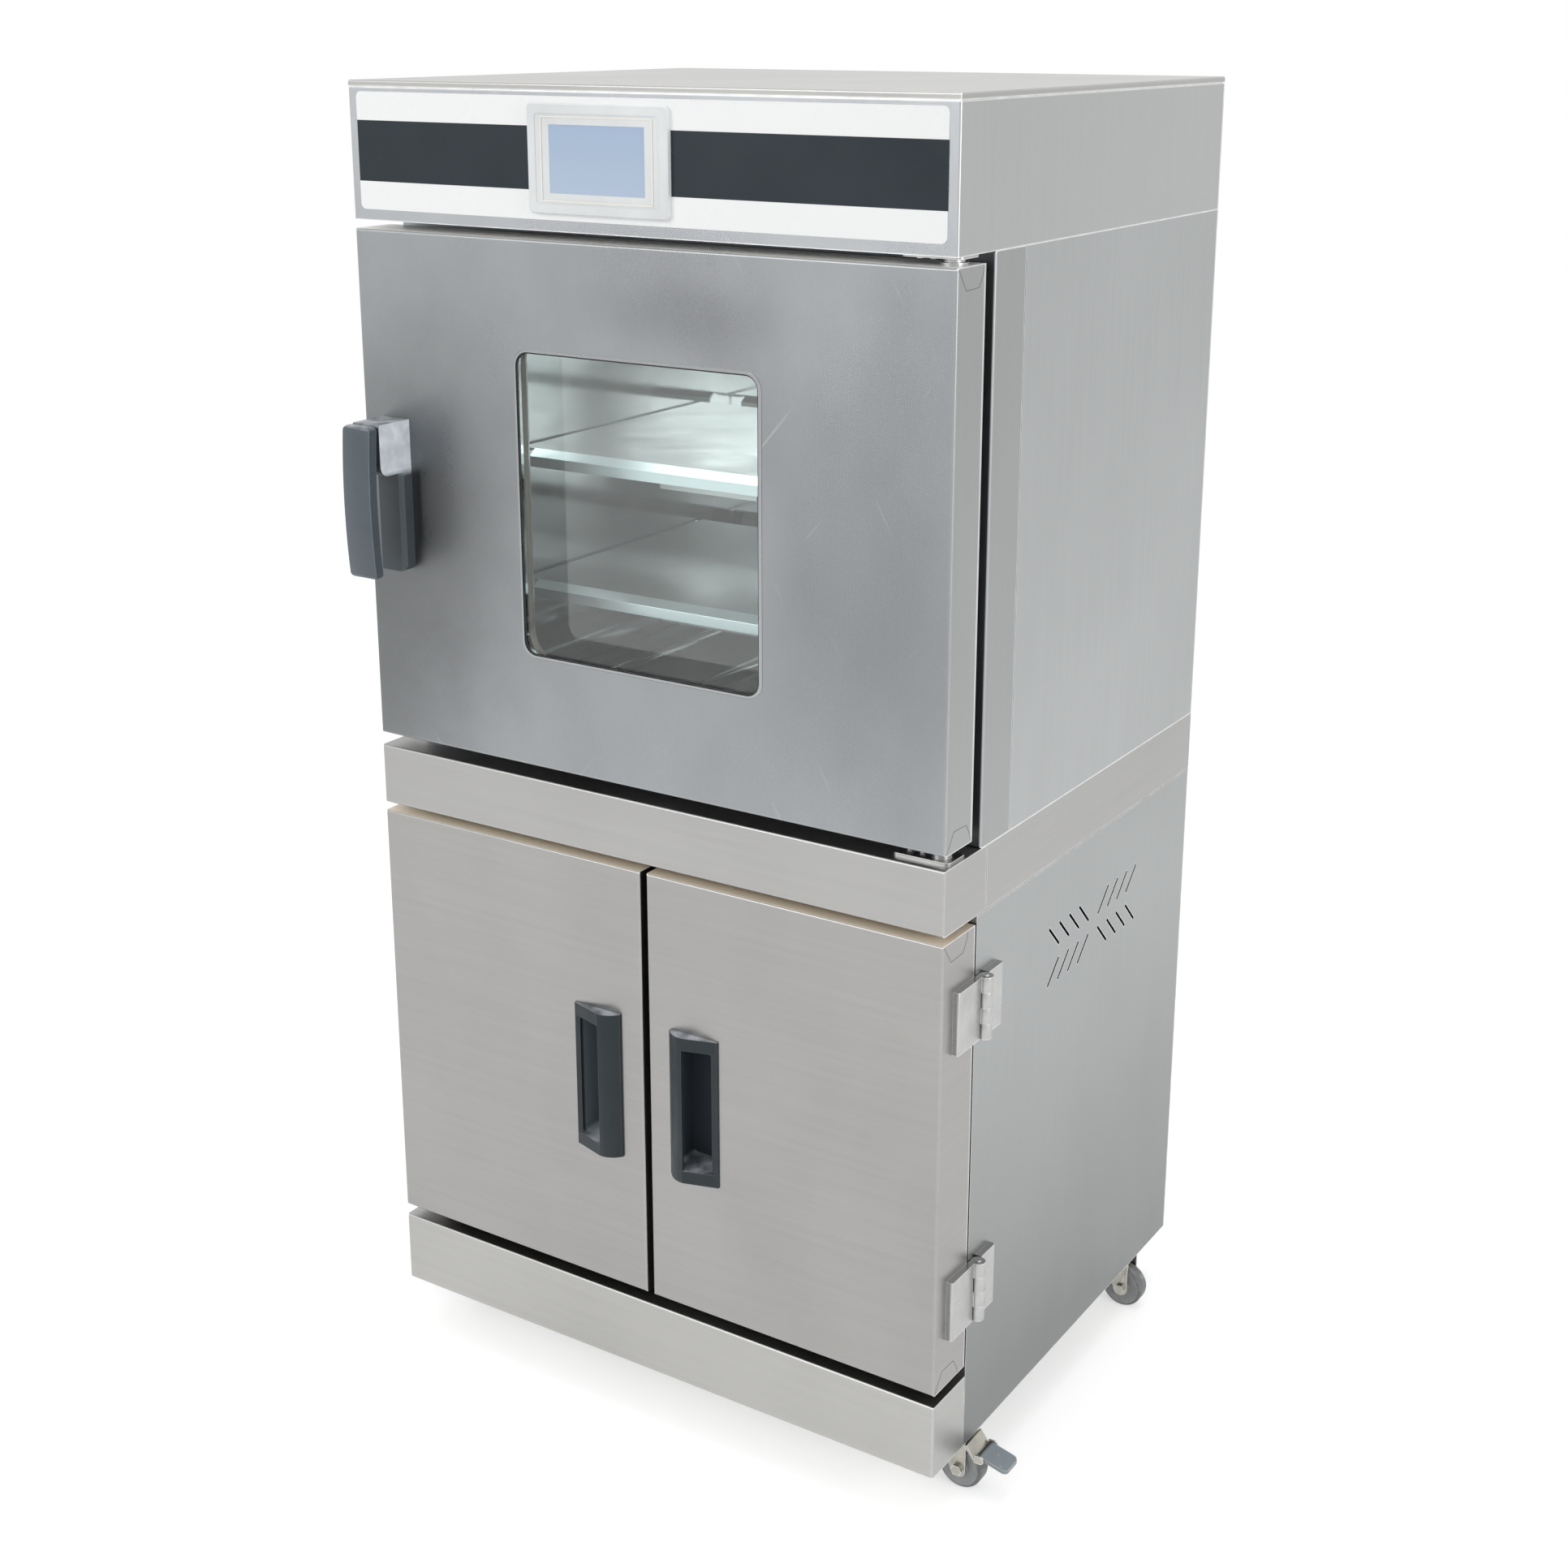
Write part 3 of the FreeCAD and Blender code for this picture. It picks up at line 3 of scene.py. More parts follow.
import bmesh
import bpy
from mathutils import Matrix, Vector


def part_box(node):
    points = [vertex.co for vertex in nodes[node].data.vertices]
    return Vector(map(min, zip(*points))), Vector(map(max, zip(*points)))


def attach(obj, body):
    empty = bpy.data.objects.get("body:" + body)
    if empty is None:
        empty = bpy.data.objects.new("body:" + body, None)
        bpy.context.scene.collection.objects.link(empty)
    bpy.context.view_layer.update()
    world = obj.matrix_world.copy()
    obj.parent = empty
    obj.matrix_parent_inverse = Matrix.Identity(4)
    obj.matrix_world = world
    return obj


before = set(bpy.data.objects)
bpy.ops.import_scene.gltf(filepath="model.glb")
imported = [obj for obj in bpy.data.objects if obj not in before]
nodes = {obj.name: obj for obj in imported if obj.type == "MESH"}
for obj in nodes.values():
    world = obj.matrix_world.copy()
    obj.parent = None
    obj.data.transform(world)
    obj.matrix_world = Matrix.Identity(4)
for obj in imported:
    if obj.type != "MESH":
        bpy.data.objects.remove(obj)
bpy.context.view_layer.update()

# Studio: a pale floor that fades to white, a white surround that metal and glass
# also show, soft lamps at a plain level, and the camera at the photographed height,
# a little to the right of the oven.
eye = Vector((1.2658, -1.9895, 1.4968))
eye_turn = math.radians(32.67)
eye_down = math.radians(16.21)
floor_half = 9.0
floor_cells = 8
floor_grey = (0.86, 0.86, 0.86, 1.0)
floor_bright = 0.47
surround_light = 0.62
plain_white = (1.0, 1.0, 1.0, 1.0)


def scene_object(name, data):
    made = bpy.data.objects.new(name, data)
    bpy.context.scene.collection.objects.link(made)
    return made


def mesh_object(name, form, smooth=False):
    mesh = bpy.data.meshes.new(name)
    form.to_mesh(mesh)
    form.free()
    if smooth:
        for face in mesh.polygons:
            face.use_smooth = True
    return scene_object(name, mesh)


def feed(tree, value, slot):
    """Links a socket into a slot, or sets the slot to a plain value."""
    if isinstance(value, bpy.types.NodeSocket):
        tree.links.new(value, slot)
    else:
        slot.default_value = value


def calc(tree, operation, *values):
    """Math node on sockets or plain numbers; gives its output socket."""
    node = tree.nodes.new("ShaderNodeMath")
    node.operation = operation
    for slot, value in zip(node.inputs, values):
        feed(tree, value, slot)
    return node.outputs[0]


def seen_rays(tree):
    """1 for camera, glossy and transmission rays, and 0 for the rest."""
    rays = tree.nodes.new("ShaderNodeLightPath").outputs
    first = calc(tree, "MAXIMUM", rays["Is Camera Ray"], rays["Is Glossy Ray"])
    return calc(tree, "MAXIMUM", first, rays["Is Transmission Ray"])


form = bmesh.new()
bmesh.ops.create_grid(form, x_segments=floor_cells, y_segments=floor_cells, size=floor_half)
floor = mesh_object("studio_floor", form)
floor_paint = bpy.data.materials.new("floor_paint")
floor_paint.use_nodes = True
tree = floor_paint.node_tree
tree.nodes.clear()
matt = tree.nodes.new("ShaderNodeBsdfDiffuse")
matt.inputs["Color"].default_value = floor_grey
fade = tree.nodes.new("ShaderNodeEmission")
feed(tree, calc(tree, "MULTIPLY", seen_rays(tree), floor_bright), fade.inputs["Strength"])
both = tree.nodes.new("ShaderNodeAddShader")
tree.links.new(matt.outputs[0], both.inputs[0])
tree.links.new(fade.outputs[0], both.inputs[1])
surface = tree.nodes.new("ShaderNodeOutputMaterial")
tree.links.new(both.outputs[0], surface.inputs["Surface"])
floor.data.materials.append(floor_paint)

surround = bpy.data.worlds.new("surround")
surround.use_nodes = True
tree = surround.node_tree
tree.nodes.clear()
pick = tree.nodes.new("ShaderNodeMixShader")
feed(tree, seen_rays(tree), pick.inputs[0])
for slot, strength in ((pick.inputs[1], surround_light), (pick.inputs[2], 1.0)):
    sky = tree.nodes.new("ShaderNodeBackground")
    sky.inputs["Color"].default_value = plain_white
    sky.inputs["Strength"].default_value = strength
    tree.links.new(sky.outputs[0], slot)
surface = tree.nodes.new("ShaderNodeOutputWorld")
tree.links.new(pick.outputs[0], surface.inputs["Surface"])
bpy.context.scene.world = surround


def softbox(name, place, aim, wide, tall, power):
    lamp = bpy.data.lights.new(name, "AREA")
    lamp.shape = "RECTANGLE"
    lamp.size = wide
    lamp.size_y = tall
    lamp.energy = power
    holder = scene_object(name, lamp)
    holder.location = place
    holder.rotation_euler = (Vector(aim) - Vector(place)).to_track_quat("-Z", "Y").to_euler()


softbox("front_softbox", (-1.5, -3.2, 2.6), (0.0, 0.0, 0.8), wide=2.0, tall=1.4, power=34.0)
softbox("side_softbox", (3.4, -0.9, 1.6), (0.3, 0.0, 0.6), wide=1.4, tall=1.8, power=26.0)
softbox("top_softbox", (0.2, 0.1, 3.4), (0.0, 0.0, 1.4), wide=1.8, tall=1.8, power=22.0)

view_camera = bpy.data.cameras.new("view")
view_camera.lens = 51.0
view_camera.sensor_width = 36.0
view_camera.shift_y = -0.0802
viewer = scene_object("view", view_camera)
viewer.location = eye
viewer.rotation_euler = (math.pi / 2 - eye_down, 0.0, eye_turn)
bpy.context.scene.camera = viewer
bpy.context.scene.view_settings.view_transform = "Standard"


# Plinth, floor, sides, back and band: satin stainless sheet, 1.5 mm thick, cut and
# folded, with the rolled grain along its length, faint clouds from wiping and a painted
# highlight on the folded edges. Near the floor the sides are darker, as painted shade, and the band's fold
# that faces down gets pale painted light.
satin_colour = (0.43, 0.427, 0.415, 1.0)
band_colour = (0.385, 0.382, 0.375, 1.0)
side_colour = (0.365, 0.378, 0.378, 1.0)
# Painted shade on the sides near the floor.
side_foot_shade_colour = (0.225, 0.230, 0.230, 1.0)
side_foot_shade_range = (0.10, 0.55)
body_side_colour = (0.415, 0.428, 0.430, 1.0)
# Painted highlights on the folded edges.
fold_highlight_along = (0.93, 0.93, 0.92, 1.0)
fold_highlight_upright = (0.90, 0.90, 0.89, 1.0)
# Pale painted light on the band's fold that faces down into the gap.
band_gap_light_colour = (0.80, 0.74, 0.64, 1.0)
grain_along = (0.03, 0.03, 1.0)
grain_upright = (1.0, 1.0, 0.03)
grain_depth = 0.00004
cloud_scale, wipe_scale, line_scale = 3.1, 9.0, 160.0
wipe_stretch = (1.0, 1.0, 0.45)
wipe_roughness = 0.22
edge_sharp, edge_open = 0.998, 0.90


def new_group(name, inputs, outputs):
    """Node group with named inputs and outputs; inputs are (name, kind, value)."""
    group = bpy.data.node_groups.new(name, "ShaderNodeTree")
    for label, kind, value in inputs:
        socket = group.interface.new_socket(label, in_out="INPUT", socket_type="NodeSocket" + kind)
        socket.default_value = value
    for label, kind in outputs:
        group.interface.new_socket(label, in_out="OUTPUT", socket_type="NodeSocket" + kind)
    start = group.nodes.new("NodeGroupInput")
    end = group.nodes.new("NodeGroupOutput")
    return group, start.outputs, end.inputs


def vector_calc(tree, operation, *values):
    """Vector math node; gives its vector, or its number for a length or a dot product."""
    node = tree.nodes.new("ShaderNodeVectorMath")
    node.operation = operation
    for slot, value in zip(node.inputs, values):
        feed(tree, value, slot)
    return node.outputs["Value" if operation in ("LENGTH", "DOT_PRODUCT") else "Vector"]


def on_piece(tree, what="Object"):
    """Where a point lies on its piece, or with "Normal" which way it faces."""
    return tree.nodes.new("ShaderNodeTexCoord").outputs[what]


def axes(tree, vector):
    """The sockets X, Y and Z of a vector."""
    split = tree.nodes.new("ShaderNodeSeparateXYZ")
    tree.links.new(vector, split.inputs[0])
    return split.outputs


def spread(tree, value, low, high, out_low, out_high, way="LINEAR"):
    """Value mapped from one range to another, held inside the second."""
    node = tree.nodes.new("ShaderNodeMapRange")
    node.interpolation_type = way
    for label, number in (("Value", value), ("From Min", low), ("From Max", high),
                          ("To Min", out_low), ("To Max", out_high)):
        feed(tree, number, node.inputs[label])
    return node.outputs["Result"]


def noise_at(tree, where, scale, detail):
    node = tree.nodes.new("ShaderNodeTexNoise")
    for label, value in (("Vector", where), ("Scale", scale), ("Detail", detail)):
        feed(tree, value, node.inputs[label])
    return node.outputs["Fac"]


def spot_noise(tree, scale, detail, stretch=None):
    """Noise over the piece's own coordinates, stretched where asked."""
    where = on_piece(tree)
    if stretch is not None:
        where = vector_calc(tree, "MULTIPLY", where, stretch)
    return noise_at(tree, where, scale, detail)


rolled, start, end = new_group(
    "rolled_sheet",
    [("Colour", "Color", (0.5, 0.5, 0.5, 1.0)), ("Grain Stretch", "Vector", (1.0, 1.0, 1.0)),
     ("Cloud", "Float", 0.1), ("Grain", "Float", 0.05), ("Rough", "Float", 0.3)],
    [("Colour", "Color"), ("Rough", "Float"), ("Height", "Float")])
clouds = spot_noise(rolled, cloud_scale, 3.0)
wipes = spot_noise(rolled, wipe_scale, 4.0, wipe_stretch)
lines = spot_noise(rolled, line_scale, 2.0, start["Grain Stretch"])
cloud_part = calc(rolled, "MULTIPLY", calc(rolled, "SUBTRACT", calc(rolled, "ADD", clouds, wipes), 1.0),
                  start["Cloud"])
grain_part = calc(rolled, "MULTIPLY", calc(rolled, "SUBTRACT", lines, 0.5), start["Grain"])
tone = calc(rolled, "ADD", calc(rolled, "ADD", cloud_part, grain_part), 1.0)
feed(rolled, vector_calc(rolled, "MULTIPLY", start["Colour"], tone), end["Colour"])
rough_part = calc(rolled, "MULTIPLY", calc(rolled, "SUBTRACT", wipes, 0.5), wipe_roughness)
feed(rolled, calc(rolled, "ADD", start["Rough"], rough_part), end["Rough"])
feed(rolled, lines, end["Height"])

# Edge mask: on metal it carries a painted highlight on folds and edges; on plastic and paint it carries wear.
edges, start, end = new_group(
    "edge_light_and_wear_mask", [("Radius", "Float", 0.002), ("Strength", "Float", 1.0)], [("Mask", "Float")])
soft = edges.nodes.new("ShaderNodeBevel")
soft.samples = 6
feed(edges, start["Radius"], soft.inputs["Radius"])
sharp = edges.nodes.new("ShaderNodeNewGeometry").outputs["Normal"]
match = vector_calc(edges, "DOT_PRODUCT", soft.outputs[0], sharp)
turned = spread(edges, match, edge_sharp, edge_open, 0.0, 1.0)
patchy = spread(edges, spot_noise(edges, 40.0, 3.0), 0.35, 0.65, 0.7, 1.0)
feed(edges, calc(edges, "MULTIPLY", calc(edges, "MULTIPLY", turned, patchy), start["Strength"]),
     end["Mask"])

facing_way, start, end = new_group(
    "facing_way", [("Way", "Vector", (0.0, 0.0, 1.0)), ("Limit", "Float", 0.6)], [("Mask", "Float")])
aligned = vector_calc(facing_way, "DOT_PRODUCT", on_piece(facing_way, "Normal"), start["Way"])
feed(facing_way, spread(facing_way, aligned, start["Limit"], 0.95, 0.0, 1.0), end["Mask"])


def new_finish(name, metallic, rough, specular=0.5):
    """Material with a Principled shader; gives the material, its tree and its shader."""
    finish = bpy.data.materials.new(name)
    finish.use_nodes = True
    shader = finish.node_tree.nodes["Principled BSDF"]
    shader.inputs["Metallic"].default_value = metallic
    shader.inputs["Roughness"].default_value = rough
    shader.inputs["Specular IOR Level"].default_value = specular
    return finish, finish.node_tree, shader


def place_group(tree, group, **values):
    """Puts a node group in a material; gives its outputs."""
    node = tree.nodes.new("ShaderNodeGroup")
    node.node_tree = group
    for label, value in values.items():
        node.inputs[label.replace("_", " ")].default_value = value
    return node.outputs


def blend_colours(tree, mask, under, over):
    """Colour under, turned to colour over where the mask is 1."""
    mix = tree.nodes.new("ShaderNodeMix")
    mix.data_type = "RGBA"
    for label, value in (("Factor", mask), ("A", under), ("B", over)):
        feed(tree, value, mix.inputs[label])
    return mix.outputs["Result"]


def toned(colour, share):
    """A colour made lighter or darker."""
    return tuple(c * share for c in colour[:3]) + (1.0,)


def bump(tree, shader, height, distance, strength=1.0):
    node = tree.nodes.new("ShaderNodeBump")
    for label, value in (("Distance", distance), ("Strength", strength), ("Height", height)):
        feed(tree, value, node.inputs[label])
    tree.links.new(node.outputs[0], shader.inputs["Normal"])


def painted_gap_light(tree, shader, base, ledge):
    """Painted light on a fold that faces up (1) or down (-1) in a narrow gap: a pale colour with less metal
    stands in for the light bounced into the gap.
    """
    gap_light_colour, up = ledge
    mask = place_group(tree, facing_way, Way=(0.0, 0.0, up), Limit=0.8)["Mask"]
    metal = calc(tree, "SUBTRACT", 1.0, calc(tree, "MULTIPLY", mask, 0.9))
    feed(tree, metal, shader.inputs["Metallic"])
    return blend_colours(tree, mask, base, gap_light_colour)


def steel_finish(name, colour, rough, grain_way, cloud, grain, edge_light_and_wear_colour, edge_highlight_radius,
                 ledge=None, foot_shade=None):
    finish, tree, shader = new_finish(name, 1.0, rough)
    sheet = place_group(tree, rolled, Colour=colour, Grain_Stretch=grain_way, Cloud=cloud,
                        Grain=grain, Rough=rough)
    edge_light_and_wear = place_group(tree, edges, Radius=edge_highlight_radius, Strength=1.0)["Mask"]
    base = sheet["Colour"]
    # Pale painted light on a fold that faces into a narrow gap.
    if ledge is not None:
        base = painted_gap_light(tree, shader, base, ledge)
    # Painted shade: darker towards the floor.
    if foot_shade is not None:
        foot_shade_colour, (foot_low, foot_high) = foot_shade
        lowness = spread(tree, axes(tree, on_piece(tree))["Z"], foot_low, foot_high, 1.0, 0.0)
        base = blend_colours(tree, lowness, base, foot_shade_colour)
    # Painted highlight on the folded edges.
    feed(tree, blend_colours(tree, edge_light_and_wear, base, edge_light_and_wear_colour), shader.inputs["Base Color"])
    feed(tree, sheet["Rough"], shader.inputs["Roughness"])
    bump(tree, shader, sheet["Height"], grain_depth, 0.5)
    return finish


def dress(finish, *names):
    """Gives CAD nodes their finish."""
    for name in names:
        piece = nodes[name]
        piece.data.materials.clear()
        piece.data.materials.append(finish)


def ease_edges(width, *names):
    """Small real edge radius on CAD nodes."""
    for name in names:
        piece = nodes[name]
        weld = piece.modifiers.new("joined", "WELD")
        weld.merge_threshold = 0.00001
        ease = piece.modifiers.new("eased", "BEVEL")
        ease.width = width
        ease.segments = 2
        ease.limit_method = "ANGLE"
        ease.angle_limit = math.radians(40)
        ease.harden_normals = True


satin_along = steel_finish("satin_steel_along", satin_colour, 0.34, grain_along, 0.16, 0.10,
                           fold_highlight_along, 0.0020)
satin_band = steel_finish("satin_steel_band", band_colour, 0.34, grain_along, 0.16, 0.10,
                          fold_highlight_along, 0.0020, ledge=(band_gap_light_colour, -1.0))
satin_side = steel_finish("satin_steel_side", side_colour, 0.36, grain_upright, 0.22, 0.07,
                          fold_highlight_upright, 0.0018, foot_shade=(side_foot_shade_colour, side_foot_shade_range))
satin_upright = steel_finish("satin_steel_upright", body_side_colour, 0.36, grain_upright, 0.18, 0.09,
                             fold_highlight_upright, 0.0018)
dress(satin_along, "plinth", "cabinet_floor")
dress(satin_band, "band_front", "band_rear")
dress(satin_side, "cabinet_side_left", "cabinet_side_right", "cabinet_back")


# Lower doors: two folded trays of satin sheet with a back sheet inside. Their corner
# tabs are folded round the side and lie flat on it, open at the corner by a hair.
lower_door_colour = (0.345, 0.340, 0.332, 1.0)
# Pale painted light on the doors' top folds, which face up into the gap under the band.
lower_door_gap_light_colour = (0.80, 0.73, 0.62, 1.0)
seam_width = 0.0005
seam_stand = 0.0001
seam_path = ((0.002, 0.002), (0.016, 0.021), (0.040, 0.020), (0.047, 0.009), (0.049, 0.002))

dress(steel_finish("lower_door_steel", lower_door_colour, 0.33, grain_along, 0.20, 0.10,
                   fold_highlight_along, 0.0020, ledge=(lower_door_gap_light_colour, 1.0)),
      "lower_door_left", "lower_door_right")

seam_shade, tree, shader = new_finish("seam_shade", 0.6, 0.5)
feed(tree, blend_colours(tree, spot_noise(tree, 300.0, 3.0), (0.05, 0.05, 0.05, 1.0),
                         (0.16, 0.16, 0.155, 1.0)), shader.inputs["Base Color"])


def prism(form, corners, push):
    """Closed prism from a flat outline pushed along a vector."""
    near = [form.verts.new(c) for c in corners]
    far = [form.verts.new(c + Vector(push)) for c in corners]
    form.faces.new(near)
    form.faces.new(list(reversed(far)))
    count = len(corners)
    for i in range(count):
        j = (i + 1) % count
        form.faces.new((near[i], far[i], far[j], near[j]))


def fold_seams(name, door_node, body, side):
    """Open seams round the corner tabs on the side face of a folded door."""
    low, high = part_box(door_node)
    x = high.x if side > 0 else low.x
    form = bmesh.new()
    for z, way in ((high.z, -1.0), (low.z, 1.0)):
        for (back_0, drop_0), (back_1, drop_1) in zip(seam_path, seam_path[1:]):
            start = Vector((x, low.y + back_0, z + way * drop_0))
            end = Vector((x, low.y + back_1, z + way * drop_1))
            along = (end - start).normalized()
            across = Vector((0.0, along.z, -along.y)) * (seam_width / 2)
            prism(form, [start + across, end + across, end - across, start - across],
                  (side * seam_stand, 0.0, 0.0))
    bmesh.ops.recalc_face_normals(form, faces=form.faces)
    seams = mesh_object(name, form)
    seams.data.materials.append(seam_shade)
    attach(seams, body)


fold_seams("fold_seams_lower_right", "lower_door_right", "lower_door_right", 1)
fold_seams("fold_seams_lower_left", "lower_door_left", "lower_door_left", -1)


# Pull handles: moulded in dark blue-grey plastic with a fine texture, pushed into
# a cut-out of each door from the front. Dust lies on what faces up, and the pockets
# are painted paler inside as painted light, for the light that reaches into them.
moulding_colour = (0.015, 0.022, 0.027, 1.0)
pull_worn_colour = (0.075, 0.090, 0.100, 1.0)
# Painted light inside the pockets, paler on the left, for the light that reaches into them.
pocket_right_light = (0.045, 0.056, 0.068, 1.0)
pocket_left_light = (0.16, 0.19, 0.21, 1.0)
pocket_blend = 0.003
pull_specular = 0.32
dust_colour = (0.50, 0.53, 0.57, 1.0)
# Pale painted light on the lit side of the latch's boss.
boss_side_light_colour = (0.86, 0.92, 0.98, 1.0)
boss_height = 0.054
boss_blend = 0.004

dusty, start, end = new_group(
    "dust_on_top", [("Amount", "Float", 1.0), ("Scale", "Float", 60.0)], [("Mask", "Float")])
facing = axes(dusty, dusty.nodes.new("ShaderNodeNewGeometry").outputs["Normal"])
flat = spread(dusty, facing["Z"], 0.35, 0.95, 0.0, 1.0)
specks = spread(dusty, spot_noise(dusty, start["Scale"], 5.0), 0.38, 0.66, 0.25, 1.0)
feed(dusty, calc(dusty, "MULTIPLY", calc(dusty, "MULTIPLY", flat, specks), start["Amount"]),
     end["Mask"])

# The right side of the latch's boss gets a pale, patchy painted light where light falls
# on it; its group is made here, because the latch is moulded in the same plastic.
side_light_group, start, end = new_group("painted_side_light", [("Amount", "Float", 0.9)], [("Mask", "Float")])
boss_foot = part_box("latch_base")[1].z - boss_height
upper = spread(side_light_group, axes(side_light_group, on_piece(side_light_group))["Z"], boss_foot - boss_blend,
               boss_foot + boss_blend, 0.0, 1.0)
side = spread(side_light_group, axes(side_light_group, on_piece(side_light_group, "Normal"))["X"], 0.4, 0.9, 0.0, 1.0)
side_light_patches = spread(side_light_group, spot_noise(side_light_group, 70.0, 5.0), 0.35, 0.7, 0.70, 1.0)
feed(side_light_group, calc(side_light_group, "MULTIPLY", calc(side_light_group, "MULTIPLY", upper, side),
                  calc(side_light_group, "MULTIPLY", side_light_patches, start["Amount"])), end["Mask"])


def moulded_finish(name, colour, rough, dust_amount, edge_light_and_wear_colour, lit_boss_side=False, specular=0.5,
                   pocket=None):
    finish, tree, shader = new_finish(name, 0.0, rough, specular)
    edge_light_and_wear = place_group(tree, edges, Radius=0.0016, Strength=0.6)["Mask"]
    dust = place_group(tree, dusty, Amount=dust_amount, Scale=55.0)["Mask"]
    handled = spread(tree, spot_noise(tree, 16.0, 4.0), 0.3, 0.7, 0.0, 0.35)
    base = blend_colours(tree, handled, colour, toned(colour, 1.4))
    # Painted light inside the pocket.
    if pocket is not None:
        pocket_front, pocket_light_colour = pocket
        inside = spread(tree, axes(tree, on_piece(tree))["Y"], pocket_front,
                        pocket_front + pocket_blend, 0.0, 1.0)
        base = blend_colours(tree, inside, base, pocket_light_colour)
    base = blend_colours(tree, edge_light_and_wear, base, edge_light_and_wear_colour)
    base = blend_colours(tree, dust, base, dust_colour)
    # Painted light on the lit side of the boss.
    if lit_boss_side:
        side_light = place_group(tree, side_light_group, Amount=1.0)["Mask"]
        base = blend_colours(tree, side_light, base, boss_side_light_colour)
    feed(tree, base, shader.inputs["Base Color"])
    feed(tree, spread(tree, spot_noise(tree, 30.0, 3.0), 0.3, 0.7, rough - 0.08, rough + 0.10),
         shader.inputs["Roughness"])
    bump(tree, shader, spot_noise(tree, 1900.0, 1.0), 0.00005, 0.6)
    return finish


dress(moulded_finish("dark_moulding", moulding_colour, 0.40, 0.60, pull_worn_colour),
      "mains_gland", "door_catches")
door_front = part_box("lower_door_right")[0].y
for side, pocket_light_colour in (("right", pocket_right_light), ("left", pocket_left_light)):
    dress(moulded_finish("pull_moulding_" + side, moulding_colour, 0.40, 0.9, pull_worn_colour,
                         specular=pull_specular, pocket=(door_front, pocket_light_colour)), "pull_" + side)
ease_edges(0.0006, "pull_left", "pull_right")


# Block hinges: zinc-plated steel leaves with a rolled barrel of four knuckles,
# and casters with pressed steel plates and forks in a warmer plating.
hinge_plating_colour = (0.46, 0.46, 0.455, 1.0)
caster_plating_colour = (0.50, 0.485, 0.43, 1.0)
# Painted highlight on plated edges.
plating_edge_highlight = (0.92, 0.93, 0.93, 1.0)


def plated_finish(name, colour, rough, cloud, edge_highlight_share=0.9):
    finish, tree, shader = new_finish(name, 1.0, rough)
    patches = spot_noise(tree, 45.0, 4.0)
    base = blend_colours(tree, spread(tree, patches, 0.35, 0.7, 0.0, cloud), colour, toned(colour, 0.55))
    edge_light_and_wear = place_group(tree, edges, Radius=0.0014, Strength=edge_highlight_share)["Mask"]
    # Painted highlight along the edges.
    feed(tree, blend_colours(tree, edge_light_and_wear, base, plating_edge_highlight), shader.inputs["Base Color"])
    feed(tree, spread(tree, patches, 0.3, 0.7, rough - 0.06, rough + 0.12), shader.inputs["Roughness"])
    bump(tree, shader, spot_noise(tree, 380.0, 3.0), 0.00006, 0.5)
    return finish


hinge_leaves = ("cabinet_hinge_leaves", "door_hinge_leaves_left", "door_hinge_leaves_right")
dress(plated_finish("bright_plating", hinge_plating_colour, 0.27, 0.12), *hinge_leaves,
      "pivot_brackets", "pivot_bushes", "latch_shaft", "latch_keeper")
ease_edges(0.0005, *hinge_leaves)

caster_names = ("front_left", "front_right", "rear_left", "rear_right")
caster_steel = ["caster_plates"] + ["caster_fork_" + n for n in caster_names]
dress(plated_finish("caster_plating", caster_plating_colour, 0.27, 0.6), *caster_steel)
ease_edges(0.0004, *caster_steel)


# Wheels: grey rubber tread on a paler moulded core, scuffed and dusty from the floor.
tread_colour = (0.17, 0.175, 0.18, 1.0)
core_colour = (0.36, 0.37, 0.38, 1.0)
scuff_colour = (0.45, 0.45, 0.44, 1.0)
tread_depth = 0.0035
tread_blend = 0.0004

for caster in caster_names:
    wheel = "caster_wheel_" + caster
    low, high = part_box(wheel)
    finish, tree, shader = new_finish("wheel_rubber_" + caster, 0.0, 0.55)
    from_hub = vector_calc(tree, "SUBTRACT", on_piece(tree), (low + high) / 2)
    radius = vector_calc(tree, "LENGTH", vector_calc(tree, "MULTIPLY", from_hub, (1.0, 0.0, 1.0)))
    tread_start = (high.z - low.z) / 2 - tread_depth
    ring = spread(tree, radius, tread_start - tread_blend, tread_start + tread_blend, 0.0, 1.0)
    base = blend_colours(tree, ring, core_colour, tread_colour)
    scuffs = spread(tree, spot_noise(tree, 140.0, 4.0), 0.45, 0.7, 0.0, 0.5)
    feed(tree, blend_colours(tree, scuffs, base, scuff_colour), shader.inputs["Base Color"])
    bump(tree, shader, spot_noise(tree, 700.0, 3.0), 0.00012, 0.6)
    dress(finish, wheel)
    ease_edges(0.0008, wheel)


# Brake pedals: pressed steel with worn blue-grey paint.
pedal_colour = (0.26, 0.30, 0.33, 1.0)
pedal_worn_colour = (0.55, 0.56, 0.56, 1.0)
pedal_chip_colour = (0.42, 0.42, 0.40, 1.0)
pedals = ("brake_pedal_front_left", "brake_pedal_front_right")

finish, tree, shader = new_finish("pedal_paint", 0.0, 0.40)
edge_light_and_wear = place_group(tree, edges, Radius=0.0018, Strength=1.0)["Mask"]
chips = spread(tree, spot_noise(tree, 90.0, 4.0), 0.60, 0.66, 0.0, 1.0)
base = blend_colours(tree, edge_light_and_wear, pedal_colour, pedal_worn_colour)
feed(tree, blend_colours(tree, chips, base, pedal_chip_colour), shader.inputs["Base Color"])
bump(tree, shader, spot_noise(tree, 300.0, 3.0), 0.00008, 0.5)
dress(finish, *pedals)
ease_edges(0.0006, *pedals)


